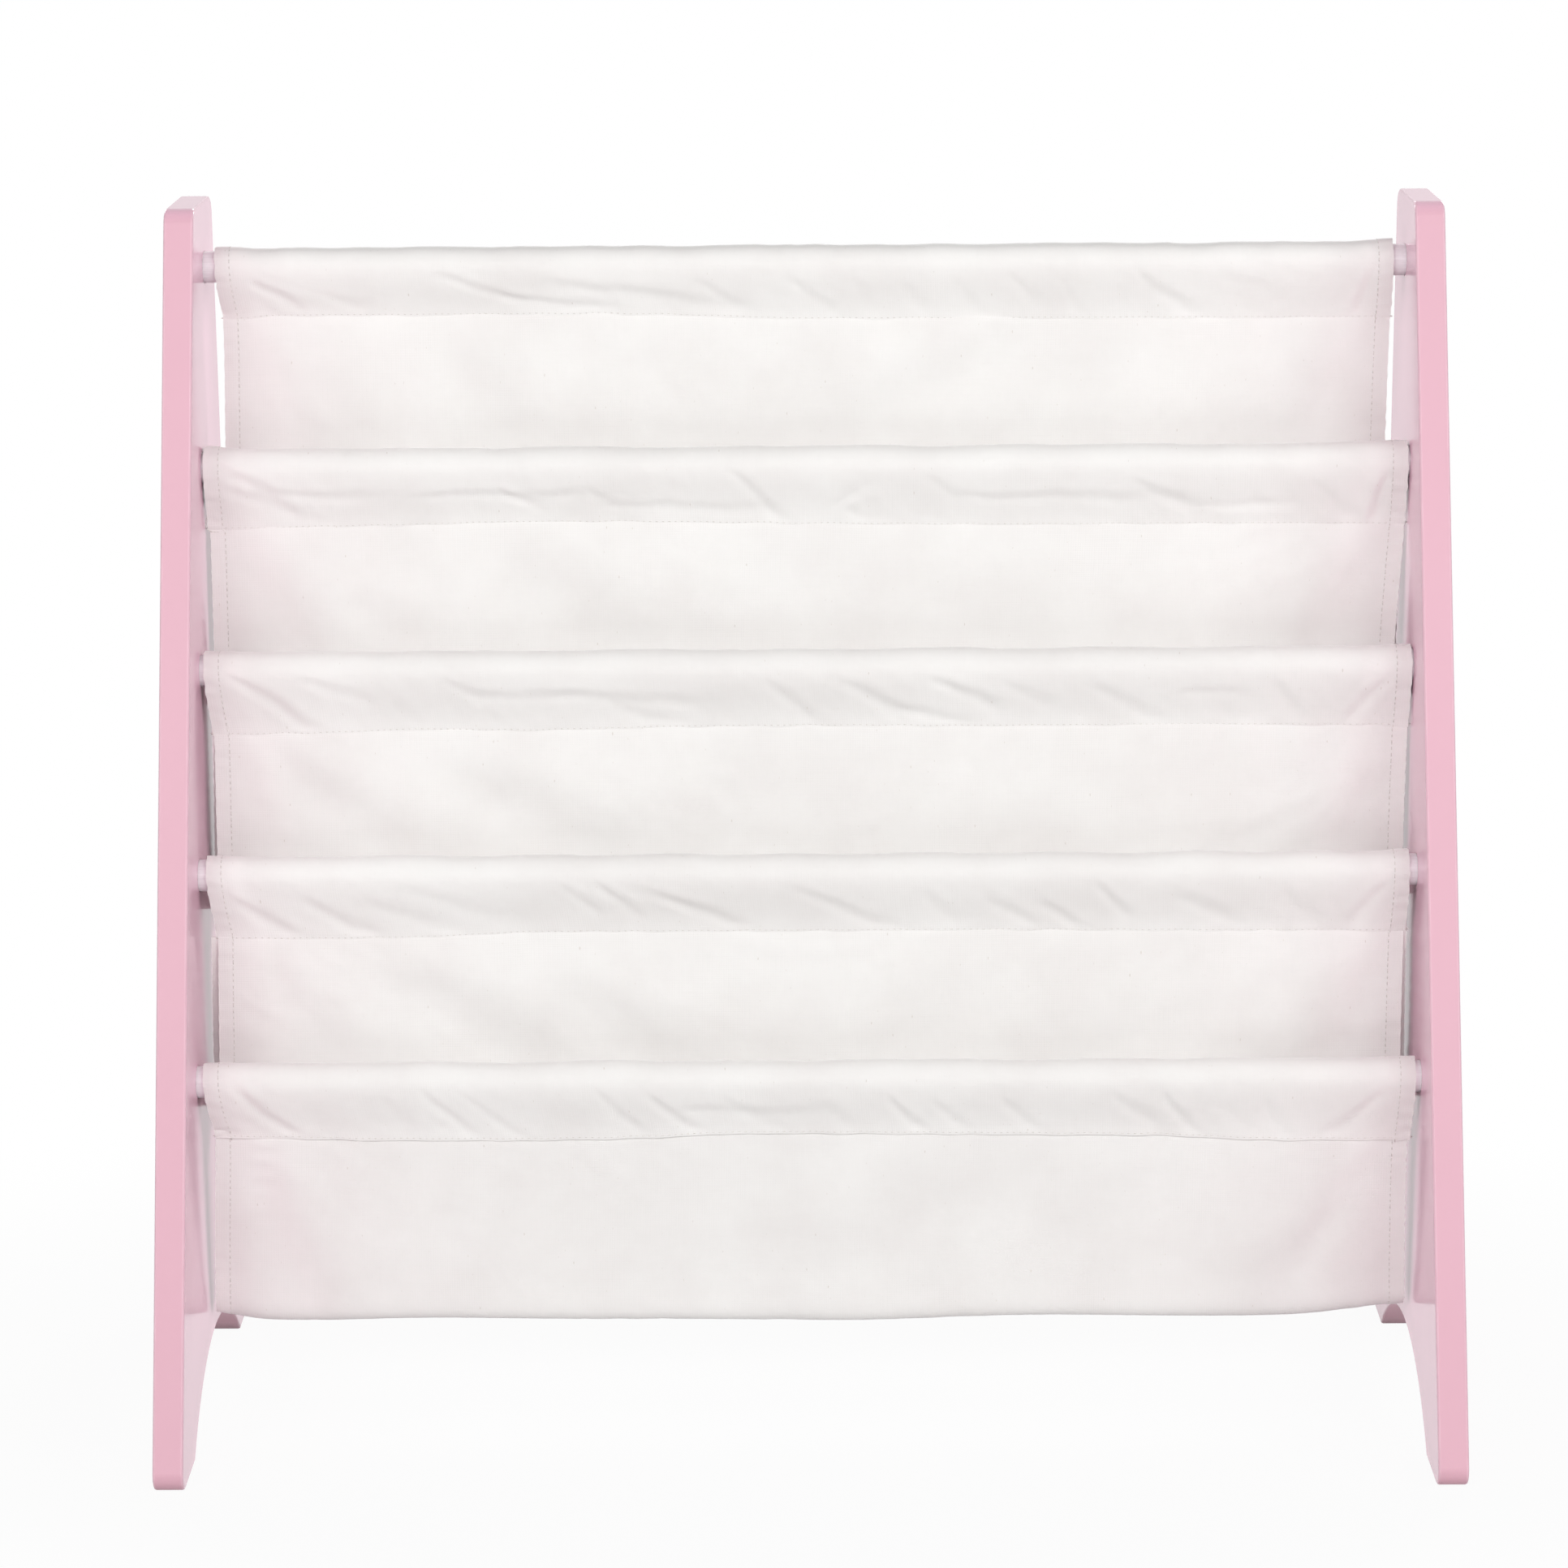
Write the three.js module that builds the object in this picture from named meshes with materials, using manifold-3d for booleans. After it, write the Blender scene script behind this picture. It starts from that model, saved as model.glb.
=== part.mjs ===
// Sling bookshelf for a child's room: two side panels, five rods, and a canvas sling with four pockets.
// Millimetres, +Z up, +X to the viewer's right, -Y towards the viewer.
// The origin lies on the floor, under the middle of the shelf.

import * as THREE from 'three';
import { mergeVertices } from 'three/addons/utils/BufferGeometryUtils.js';
import Module from 'manifold-3d';

// Whole shelf
const overallWidth = 640;
const fitGap = 0.3;
const cutOverrun = 4;

// Side panels, cut from painted board
const panelThickness = 15;
const panelHeight = 600;
const panelBaseDepth = 283.5;
const panelTopDepth = 70;
const topCornerRadius = 10;
const toeRadius = 8.5;
const heelRadius = 8.5;
const frontFootLength = 46;
const rearFootLength = 55.5;
const archRise = 36.5;
const edgeRound = 1.2;

// Rods, and the blind sockets that hold their ends
const rodCount = 5;
const rodDiameter = 16;
const rodChamfer = 0.8;
const rodSetback = 46;
const topRodInset = 33;
const bottomRodHeight = 177;
const socketDepth = 7;

// Countersunk screws with a hexagon socket, one through the panel into each rod end
const screwLength = 45;
const screwDiameter = 5;
const screwTipLength = 4;
const screwHeadDiameter = 10;
const screwHeadDepth = 3;
const screwHeadRim = 0.6;
const screwHeadInset = 0.2;
const hexAcrossFlats = 4;
const hexDepth = 2.2;
const pilotRunout = 2;

// Canvas sling
const clothThickness = 0.8;
const clothSideGap = 2;
const seamGather = 3;
const casingSlack = 21;
const seamAllowance = 4;
const floorClearance = 44;
const foldRadius = 9;

// Facets
const outlineSegments = 10;
const casingSegments = 8;
const edgeSegments = 2;
const rodFacets = 32;
const screwFacets = 20;
const hexSides = 6;

// Finishes
const pinkPaint = new THREE.MeshStandardMaterial({ color: 0xefc3d2, roughness: 0.45, metalness: 0 });
const whitePaint = new THREE.MeshStandardMaterial({ color: 0xf2eff1, roughness: 0.5, metalness: 0 });
const canvas = new THREE.MeshStandardMaterial({ color: 0xf1efed, roughness: 0.95, metalness: 0 });
const zincPlate = new THREE.MeshStandardMaterial({ color: 0xb9bcc0, roughness: 0.35, metalness: 1 });

// The front edge leans back from the toe to the top, and the depth is centred on the origin
const frontLean = Math.atan2(panelBaseDepth - panelTopDepth, panelHeight);
const toeTangent = toeRadius / Math.tan((Math.PI / 2 - frontLean) / 2);
const backEdge = (panelBaseDepth - toeTangent + toeRadius) / 2;
const toeCorner = backEdge - panelBaseDepth;
const frontEdgeAt = (height) => toeCorner + height * Math.tan(frontLean);

const innerSpan = overallWidth - 2 * panelThickness;
const panelMiddle = (overallWidth - panelThickness) / 2;

// The rods stand on a line parallel to the front edge. The first one is the top one
const rodRadius = rodDiameter / 2;
const topRodHeight = panelHeight - topRodInset;
const rodPitch = (topRodHeight - bottomRodHeight) / (rodCount - 1);
const rodPlaces = Array.from({ length: rodCount }, (_, index) => {
  const height = topRodHeight - index * rodPitch;
  return new THREE.Vector2(frontEdgeAt(height) + rodSetback, height);
});
const rodLength = innerSpan + 2 * (socketDepth - fitGap);

// A rod end stands this far inside the outer face, and the screw's pilot hole starts there
const rodEndInset = panelThickness - socketDepth + fitGap;
const pilotDepth = screwLength + screwHeadInset - rodEndInset + pilotRunout;

// Sections are drawn with depth to the right and height upwards, and extruded across the shelf
const acrossShelf = new THREE.Matrix4().makeBasis(
  new THREE.Vector3(0, 1, 0),
  new THREE.Vector3(0, 0, 1),
  new THREE.Vector3(1, 0, 0),
);

const wasm = await Module();
wasm.setup();

function toSolid(geometry) {
  const bare = geometry.clone();
  bare.deleteAttribute('normal');
  bare.deleteAttribute('uv');
  const welded = mergeVertices(bare);
  return new wasm.Manifold(new wasm.Mesh({
    numProp: 3,
    vertProperties: new Float32Array(welded.attributes.position.array),
    triVerts: new Uint32Array(welded.index.array),
  }));
}

function toGeometry(solid) {
  const mesh = solid.getMesh();
  const geometry = new THREE.BufferGeometry();
  geometry.setAttribute('position', new THREE.BufferAttribute(mesh.vertProperties, mesh.numProp));
  geometry.setIndex(new THREE.BufferAttribute(mesh.triVerts, 1));
  geometry.computeVertexNormals();
  return geometry;
}

function addMesh(group, name, geometry, material, x, y, z) {
  const mesh = new THREE.Mesh(geometry, material);
  mesh.name = name;
  mesh.position.set(x, y, z);
  group.add(mesh);
}

// A body of revolution about X, centred where its profile's zero length is
function turnedAlongX(profile, facets) {
  const points = profile.map(([radius, along]) => new THREE.Vector2(radius, along));
  return new THREE.LatheGeometry(points, facets).rotateZ(-Math.PI / 2);
}

// A section extruded symmetrically across the shelf
function extrudedAcross(section, width, curveSegments) {
  const geometry = new THREE.ExtrudeGeometry(section, { depth: width, bevelEnabled: false, curveSegments });
  return geometry.translate(0, 0, -width / 2).applyMatrix4(acrossShelf);
}

// The side panel's outline: toe, front foot, arch, rear foot, back edge, flat top and leaning front edge
function panelOutline() {
  const archStart = toeCorner + frontFootLength;
  const archEnd = backEdge - rearFootLength;
  const halfChord = (archEnd - archStart) / 2;
  const archRadius = (halfChord ** 2 + archRise ** 2) / (2 * archRise);
  const archCentreHeight = archRise - archRadius;
  const archAngle = Math.atan2(-archCentreHeight, halfChord);
  const topCentreHeight = panelHeight - topCornerRadius;
  const topFrontCentre = frontEdgeAt(topCentreHeight) + topCornerRadius / Math.cos(frontLean);

  const outline = new THREE.Shape();
  outline.moveTo(toeCorner + toeTangent, 0);
  outline.lineTo(archStart, 0);
  outline.absarc(archStart + halfChord, archCentreHeight, archRadius, Math.PI - archAngle, archAngle, true);
  outline.absarc(backEdge - heelRadius, heelRadius, heelRadius, -Math.PI / 2, 0, false);
  outline.absarc(backEdge - topCornerRadius, topCentreHeight, topCornerRadius, 0, Math.PI / 2, false);
  outline.absarc(topFrontCentre, topCentreHeight, topCornerRadius, Math.PI / 2, Math.PI - frontLean, false);
  outline.absarc(toeCorner + toeTangent, toeRadius, toeRadius, Math.PI - frontLean, Math.PI * 1.5, false);
  return outline;
}

// The cutter of one rod's socket, with the screw's hole and countersink behind it.
// It runs along X from the inner face at zero to the outer face.
function socketCutter() {
  const socketRadius = rodRadius + fitGap;
  const holeRadius = screwDiameter / 2 + fitGap;
  const sinkRadius = screwHeadDiameter / 2 + fitGap;
  const sinkRimDepth = screwHeadInset + screwHeadRim;
  const sinkDepth = screwHeadInset + screwHeadDepth;
  return turnedAlongX([
    [0, -cutOverrun],
    [socketRadius, -cutOverrun],
    [socketRadius, socketDepth],
    [holeRadius, socketDepth],
    [holeRadius, panelThickness - sinkDepth],
    [sinkRadius, panelThickness - sinkRimDepth],
    [sinkRadius, panelThickness + cutOverrun],
    [0, panelThickness + cutOverrun],
  ], rodFacets);
}

// side is 1 for the right panel and -1 for the left one. Its sockets open towards the middle
function sidePanel(side) {
  const board = new THREE.ExtrudeGeometry(panelOutline(), {
    depth: panelThickness - 2 * edgeRound,
    curveSegments: outlineSegments,
    bevelThickness: edgeRound,
    bevelSize: edgeRound,
    bevelOffset: -edgeRound,
    bevelSegments: edgeSegments,
  });
  board.translate(0, 0, edgeRound - panelThickness / 2).applyMatrix4(acrossShelf);
  let panel = toSolid(board);
  for (const place of rodPlaces) {
    const cutter = socketCutter();
    if (side < 0) cutter.rotateZ(Math.PI);
    cutter.translate(-side * panelThickness / 2, place.x, place.y);
    panel = panel.subtract(toSolid(cutter));
  }
  return toGeometry(panel);
}

// A rod with chamfered ends and a pilot hole in each end
function rod() {
  const half = rodLength / 2;
  const pilotRadius = screwDiameter / 2 + fitGap;
  return turnedAlongX([
    [0, pilotDepth - half],
    [pilotRadius, pilotDepth - half],
    [pilotRadius, -half],
    [rodRadius - rodChamfer, -half],
    [rodRadius, rodChamfer - half],
    [rodRadius, half - rodChamfer],
    [rodRadius - rodChamfer, half],
    [pilotRadius, half],
    [pilotRadius, half - pilotDepth],
    [0, half - pilotDepth],
  ], rodFacets);
}

// A screw along X, with its tip towards -X and the top of its head at zero
function screw() {
  const shankRadius = screwDiameter / 2;
  const headRadius = screwHeadDiameter / 2;
  const body = turnedAlongX([
    [0, -screwLength],
    [shankRadius, screwTipLength - screwLength],
    [shankRadius, -screwHeadDepth],
    [headRadius, -screwHeadRim],
    [headRadius, 0],
    [0, 0],
  ], screwFacets);
  const hexRadius = hexAcrossFlats / (2 * Math.cos(Math.PI / hexSides));
  const hexCutter = new THREE.CylinderGeometry(hexRadius, hexRadius, hexDepth + cutOverrun, hexSides);
  hexCutter.rotateZ(Math.PI / 2).translate((cutOverrun - hexDepth) / 2, 0, 0);
  return toGeometry(toSolid(body).subtract(toSolid(hexCutter)));
}

// The angle at which a line from a point below a circle's centre touches the circle on its right
function tangentAngle(halfWidth, drop, radius) {
  return Math.atan2(-drop, halfWidth) + Math.acos(radius / Math.hypot(halfWidth, drop));
}

// One loop of a casing: over the rod in a half round, then straight down to the seam
function casingLoop(path, radius, halfWidth, drop) {
  const touch = tangentAngle(halfWidth, drop, radius);
  path.moveTo(halfWidth, -drop);
  path.absarc(0, 0, radius, touch, Math.PI - touch, false);
  path.lineTo(-halfWidth, -drop);
  path.closePath();
  return path;
}

// The sleeve of canvas round a rod, closed by the seam under it
const seamDrop = rodRadius + casingSlack;

function casing() {
  const innerRadius = rodRadius + fitGap;
  const section = casingLoop(new THREE.Shape(), innerRadius + clothThickness, clothThickness, seamDrop);
  const hollow = casingLoop(new THREE.Path(), innerRadius, clothThickness / 2, seamDrop - seamAllowance);
  section.holes.push(hollow);
  return extrudedAcross(section, innerSpan - 2 * clothSideGap, casingSegments);
}

// A pocket's section hangs from the seam of the rod behind it to a round fold, and up to the seam in front.
// Both walls are tangents of the fold. The section is drawn from the front rod's place.
function pocketSection(frontPlace, rearPlace) {
  const wallOffset = (clothThickness + fitGap) / 2;
  const wallTop = seamDrop + fitGap;
  const fold = new THREE.Vector2(
    (rearPlace.x - frontPlace.x) / 2,
    floorClearance - bottomRodHeight + foldRadius + clothThickness / 2,
  );
  const front = new THREE.Vector2(wallOffset, -wallTop).sub(fold);
  const rear = rearPlace.clone().sub(frontPlace).add(new THREE.Vector2(-wallOffset, -wallTop)).sub(fold);
  const frontTouch = front.angle() + Math.acos(foldRadius / front.length());
  const rearTouch = rear.angle() - Math.acos(foldRadius / rear.length());
  const shifted = (wall, touch, offset) => new THREE.Vector2(Math.cos(touch), Math.sin(touch))
    .multiplyScalar(offset)
    .add(wall)
    .add(fold);

  const half = clothThickness / 2;
  const section = new THREE.Shape();
  section.moveTo(...shifted(front, frontTouch, half));
  section.absarc(fold.x, fold.y, foldRadius + half, frontTouch, rearTouch + 2 * Math.PI, false);
  section.lineTo(...shifted(rear, rearTouch, half));
  section.lineTo(...shifted(rear, rearTouch, -half));
  section.absarc(fold.x, fold.y, foldRadius - half, rearTouch + 2 * Math.PI, frontTouch, true);
  section.lineTo(...shifted(front, frontTouch, -half));
  section.closePath();
  return section;
}

function pocket(frontPlace, rearPlace) {
  const width = innerSpan - 2 * (clothSideGap + seamGather);
  return extrudedAcross(pocketSection(frontPlace, rearPlace), width, casingSegments);
}

// The wooden frame and its screws
const frame = new THREE.Group();
for (const [label, side] of [['left', -1], ['right', 1]]) {
  addMesh(frame, `side_panel_${label}`, sidePanel(side), pinkPaint, side * panelMiddle, 0, 0);
  rodPlaces.forEach((place, index) => {
    const geometry = screw();
    if (side < 0) geometry.rotateZ(Math.PI);
    const headTop = side * (overallWidth / 2 - screwHeadInset);
    addMesh(frame, `screw_${label}_${index + 1}`, geometry, zincPlate, headTop, place.x, place.y);
  });
}
rodPlaces.forEach((place, index) => {
  addMesh(frame, `rod_${index + 1}`, rod(), whitePaint, 0, place.x, place.y);
});

// The canvas sling
const sling = new THREE.Group();
rodPlaces.forEach((place, index) => {
  addMesh(sling, `casing_${index + 1}`, casing(), canvas, 0, place.x, place.y);
});
for (let index = 1; index < rodCount; index += 1) {
  const front = rodPlaces[index];
  addMesh(sling, `pocket_${index}`, pocket(front, rodPlaces[index - 1]), canvas, 0, front.x, front.y);
}

const bookshelf = new THREE.Group();
bookshelf.add(frame, sling);

export default bookshelf;
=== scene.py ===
"""A low sling bookshelf: pink painted side panels, white rods and a white canvas sling.

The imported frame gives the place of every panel, rod, screw and cloth solid. The panels, rods and
screws are dressed where they stand. The sling is nine sheets of canvas: each starts on the profile
of its casing or pocket, gets its creases, is settled as cloth, and is then hemmed and stitched.
"""

import logging
import math
from abc import ABC, abstractmethod
from dataclasses import dataclass, field
from enum import Enum
from functools import partial
from typing import Any, Callable, Iterable

import bmesh
import bpy
import numpy as np
from mathutils import Matrix, Vector


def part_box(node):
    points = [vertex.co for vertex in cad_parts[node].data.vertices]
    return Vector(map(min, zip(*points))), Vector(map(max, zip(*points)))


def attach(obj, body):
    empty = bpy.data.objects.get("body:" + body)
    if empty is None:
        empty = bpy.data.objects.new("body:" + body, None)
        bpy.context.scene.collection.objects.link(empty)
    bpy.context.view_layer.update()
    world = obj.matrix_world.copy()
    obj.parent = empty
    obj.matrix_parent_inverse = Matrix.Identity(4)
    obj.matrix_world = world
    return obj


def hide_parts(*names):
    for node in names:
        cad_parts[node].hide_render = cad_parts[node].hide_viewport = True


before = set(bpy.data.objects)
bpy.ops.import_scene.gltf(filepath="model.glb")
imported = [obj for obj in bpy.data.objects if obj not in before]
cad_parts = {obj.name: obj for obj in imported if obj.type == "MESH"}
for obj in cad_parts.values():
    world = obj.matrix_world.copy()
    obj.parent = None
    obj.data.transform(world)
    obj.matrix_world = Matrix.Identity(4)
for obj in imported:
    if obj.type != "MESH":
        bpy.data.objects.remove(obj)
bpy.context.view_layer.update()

LOG = logging.getLogger("bookshelf")
MM = 0.001
ROOT = "root"
FLAT_CUT = "flat_cut"
WHITE = (1.0, 1.0, 1.0, 1.0)


class Side(Enum):
    """The two ends of the shelf, as the viewer sees them."""

    LEFT = "left"
    RIGHT = "right"


# ---- Node and mesh helpers


def linear(code: int) -> tuple[float, float, float, float]:
    """Turns an sRGB hex colour into linear light.

    Args:
        code: the colour, such as 0xefc3d2.

    Returns:
        Red, green, blue and an alpha of 1.
    """
    channels = [((code >> shift) & 255) / 255 for shift in (16, 8, 0)]
    turned = [c / 12.92 if c <= 0.04045 else ((c + 0.055) / 1.055) ** 2.4 for c in channels]
    return (*turned, 1.0)


def add(
    tree: bpy.types.NodeTree,
    kind: str,
    inputs: dict[Any, Any] | None = None,
    stops: tuple[tuple[float, int], ...] = (),
    **settings: Any,
) -> bpy.types.Node:
    """Adds one node, sets it up and links it.

    Args:
        tree: the tree that gets the node.
        kind: the node's type name.
        inputs: for each input socket a value, an output, or a node whose first output is meant.
        stops: a colour ramp's stops, each a place from 0 to 1 and an sRGB hex colour.
        settings: the node's own settings.

    Returns:
        The new node.
    """
    node = tree.nodes.new(kind)
    for name, value in settings.items():
        setattr(node, name, value)
    for key, value in (inputs or {}).items():
        if isinstance(value, bpy.types.Node):
            value = value.outputs[0]
        if isinstance(value, bpy.types.NodeSocket):
            tree.links.new(value, node.inputs[key])
        else:
            node.inputs[key].default_value = value
    for number, (place, code) in enumerate(stops):
        element = node.color_ramp.elements[number]
        element.position, element.color = place, linear(code)
    return node


def per(size_mm: float) -> float:
    """Gives the scale of a pattern whose marks are so many millimetres in size."""
    return 1 / (size_mm * MM)


def ridges(pitch_mm: float) -> float:
    """Gives the scale of a wave pattern whose ridges are so many millimetres apart."""
    return math.pi / 10 / (pitch_mm * MM)


def seen_ray(tree: bpy.types.NodeTree) -> bpy.types.Node:
    """Tells the rays that see a surface, in the picture, a mirror or glass, from those that light others.

    Args:
        tree: the tree that gets the nodes.

    Returns:
        The node that gives 1 for a ray that sees, and 0 for the others.
    """
    ray = add(tree, "ShaderNodeLightPath").outputs
    direct = {0: ray["Is Camera Ray"], 1: ray["Is Glossy Ray"]}
    seen = add(tree, "ShaderNodeMath", direct, operation="MAXIMUM")
    return add(tree, "ShaderNodeMath", {0: seen, 1: ray["Is Transmission Ray"]}, operation="MAXIMUM")


def mesh_piece(name: str, mesh: bpy.types.Mesh, material: bpy.types.Material | None) -> bpy.types.Object:
    """Puts a mesh in the scene as an object at the origin.

    Args:
        name: the piece's name.
        mesh: its mesh, in the row frame.
        material: its finish, or None to keep the mesh's own.

    Returns:
        The new object.
    """
    piece = bpy.data.objects.new(name, mesh)
    bpy.context.scene.collection.objects.link(piece)
    if material is not None:
        mesh.materials.clear()
        mesh.materials.append(material)
    return piece


def quad_mesh(name: str, points: np.ndarray, quads: np.ndarray, flat: np.ndarray) -> bpy.types.Mesh:
    """Builds a mesh of quads with a UV map in metres of flat cloth.

    Args:
        name: the mesh's name.
        points: the vertices, one row each.
        quads: four vertex numbers for each face.
        flat: each vertex's place on the flat cut, in metres.

    Returns:
        The mesh, shaded smooth with sharp folds kept.
    """
    mesh = bpy.data.meshes.new(name)
    mesh.vertices.add(len(points))
    mesh.vertices.foreach_set("co", points.astype(np.float32).ravel())
    mesh.loops.add(quads.size)
    mesh.loops.foreach_set("vertex_index", quads.astype(np.int32).ravel())
    mesh.polygons.add(len(quads))
    mesh.polygons.foreach_set("loop_start", np.arange(0, quads.size, 4, dtype=np.int32))
    mesh.update(calc_edges=True)
    layer = mesh.uv_layers.new(name=FLAT_CUT)
    layer.data.foreach_set("uv", flat[quads.ravel()].astype(np.float32).ravel())
    mesh.polygons.foreach_set("use_smooth", np.ones(len(quads), bool))
    mesh.set_sharp_from_angle(angle=math.radians(60))
    mesh.validate()
    return mesh


# ---- Finishes


@dataclass(frozen=True)
class Finish(ABC):
    """What one kind of surface looks like."""

    name: str

    def material(self) -> bpy.types.Material:
        """Builds the material.

        Returns:
            The finished material.
        """
        made = bpy.data.materials.new(self.name)
        made.use_nodes = True
        tree = made.node_tree
        tree.nodes.clear()
        add(tree, "ShaderNodeOutputMaterial", {"Surface": self.surface(tree)})
        return made

    @abstractmethod
    def surface(self, tree: bpy.types.NodeTree) -> bpy.types.Node:
        """Lays out the material's nodes.

        Args:
            tree: the material's tree.

        Returns:
            The shader node.
        """


@dataclass(frozen=True)
class PaintedBoard(Finish):
    """Sprayed satin paint on fibreboard: an even pink whose flat faces mirror the studio softly."""

    name: str = "satin_pink_paint_on_fibreboard"
    colour: int = 0xF5C4D7
    colour_thick: int = 0xF3C0D4
    # The routed tint is partly paint that soaked into the edges and partly painted shade, which is left off
    # the level tops.
    colour_routed_and_shaded: int = 0xDFAEBD
    # The eased-edge tint is partly thin paint and partly a painted highlight.
    colour_worn_and_highlight: int = 0xEDC4D1
    roughness: float = 0.16
    routed_extra: float = 0.34
    peel_mm: float = 1.6
    peel_deep_mm: float = 0.06
    cloud_mm: float = 90.0
    rub_mm: float = 14.0

    def surface(self, tree: bpy.types.NodeTree) -> bpy.types.Node:
        """Lays out the paint: clouds of thickness, thin eased edges with a painted highlight, dry routed
        edges with painted shade, and orange peel.

        Args:
            tree: the material's tree.

        Returns:
            The shader node.
        """
        place = add(tree, "ShaderNodeTexCoord").outputs["Object"]
        clouds = {"Vector": place, "Scale": per(self.cloud_mm), "Detail": 3.0}
        cloud = add(tree, "ShaderNodeTexNoise", clouds)
        tints = ((0.35, self.colour_thick), (0.65, self.colour))
        tint = add(tree, "ShaderNodeValToRGB", {"Fac": cloud}, tints)
        # The routed edges drink the first coat, so they read warmer than the faces. The same tint is also
        # painted shade, which fades out on the level tops that face the light.
        routed_and_shaded = add(tree, "ShaderNodeAttribute", attribute_name="routed_and_shaded").outputs["Fac"]
        mixed = {0: routed_and_shaded, 6: tint, 7: linear(self.colour_routed_and_shaded)}
        warm_and_shaded = add(tree, "ShaderNodeMix", mixed, data_type="RGBA").outputs[2]
        # The paint lies thinner on the eased edges, and a highlight is painted on them, so they read a
        # little lighter.
        eased = add(tree, "ShaderNodeAttribute", attribute_name="eased").outputs["Fac"]
        rub = add(tree, "ShaderNodeTexNoise", {"Vector": place, "Scale": per(self.rub_mm), "Detail": 2.0})
        share = add(tree, "ShaderNodeMath", {0: eased, 1: rub}, operation="MULTIPLY")
        mixed = {0: share, 6: warm_and_shaded, 7: linear(self.colour_worn_and_highlight)}
        worn_and_highlit = add(tree, "ShaderNodeMix", mixed, data_type="RGBA").outputs[2]
        # Orange peel of sprayed paint, a little stronger on the routed edges.
        peel = add(tree, "ShaderNodeTexNoise", {"Vector": place, "Scale": per(self.peel_mm), "Detail": 2.0})
        height = add(tree, "ShaderNodeMath", {0: routed_and_shaded, 1: 0.5, 2: 0.35}, operation="MULTIPLY_ADD")
        scaled = add(tree, "ShaderNodeMath", {0: peel, 1: height}, operation="MULTIPLY")
        relief = {"Strength": 0.35, "Distance": self.peel_deep_mm * MM, "Height": scaled}
        bump = add(tree, "ShaderNodeBump", relief)
        spread = {"Value": cloud, "To Min": self.roughness - 0.03, "To Max": self.roughness + 0.05}
        gloss = add(tree, "ShaderNodeMapRange", spread)
        duller = {0: routed_and_shaded, 1: self.routed_extra, 2: gloss}
        dull = add(tree, "ShaderNodeMath", duller, operation="MULTIPLY_ADD")
        paint = {"Base Color": worn_and_highlit, "Roughness": dull, "IOR": 1.5, "Normal": bump}
        return add(tree, "ShaderNodeBsdfPrincipled", paint)


@dataclass(frozen=True)
class PaintedDowel(Finish):
    """White satin enamel on turned dowel: the long grain shows faintly through the coat."""

    name: str = "white_enamel_on_dowel"
    colour: int = 0xF0ECEF
    colour_grain: int = 0xE9E4E8
    roughness: float = 0.3
    grain_mm: float = 0.9
    grain_length_mm: float = 30.0
    grain_deep_mm: float = 0.05

    def surface(self, tree: bpy.types.NodeTree) -> bpy.types.Node:
        """Lays out the enamel, whose tint and relief follow one long grain.

        Args:
            tree: the material's tree.

        Returns:
            The shader node.
        """
        place = add(tree, "ShaderNodeTexCoord").outputs["Object"]
        scale = (per(self.grain_length_mm), per(self.grain_mm), per(self.grain_mm))
        stretch = add(tree, "ShaderNodeMapping", {"Vector": place, "Scale": scale})
        grain = add(tree, "ShaderNodeTexNoise", {"Vector": stretch, "Scale": 1.0, "Detail": 3.0})
        tints = ((0.35, self.colour_grain), (0.6, self.colour))
        tint = add(tree, "ShaderNodeValToRGB", {"Fac": grain}, tints)
        bump = add(
            tree, "ShaderNodeBump", {"Strength": 0.3, "Distance": self.grain_deep_mm * MM, "Height": grain}
        )
        enamel = {"Base Color": tint, "Roughness": self.roughness, "IOR": 1.5, "Normal": bump}
        return add(tree, "ShaderNodeBsdfPrincipled", enamel)


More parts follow.
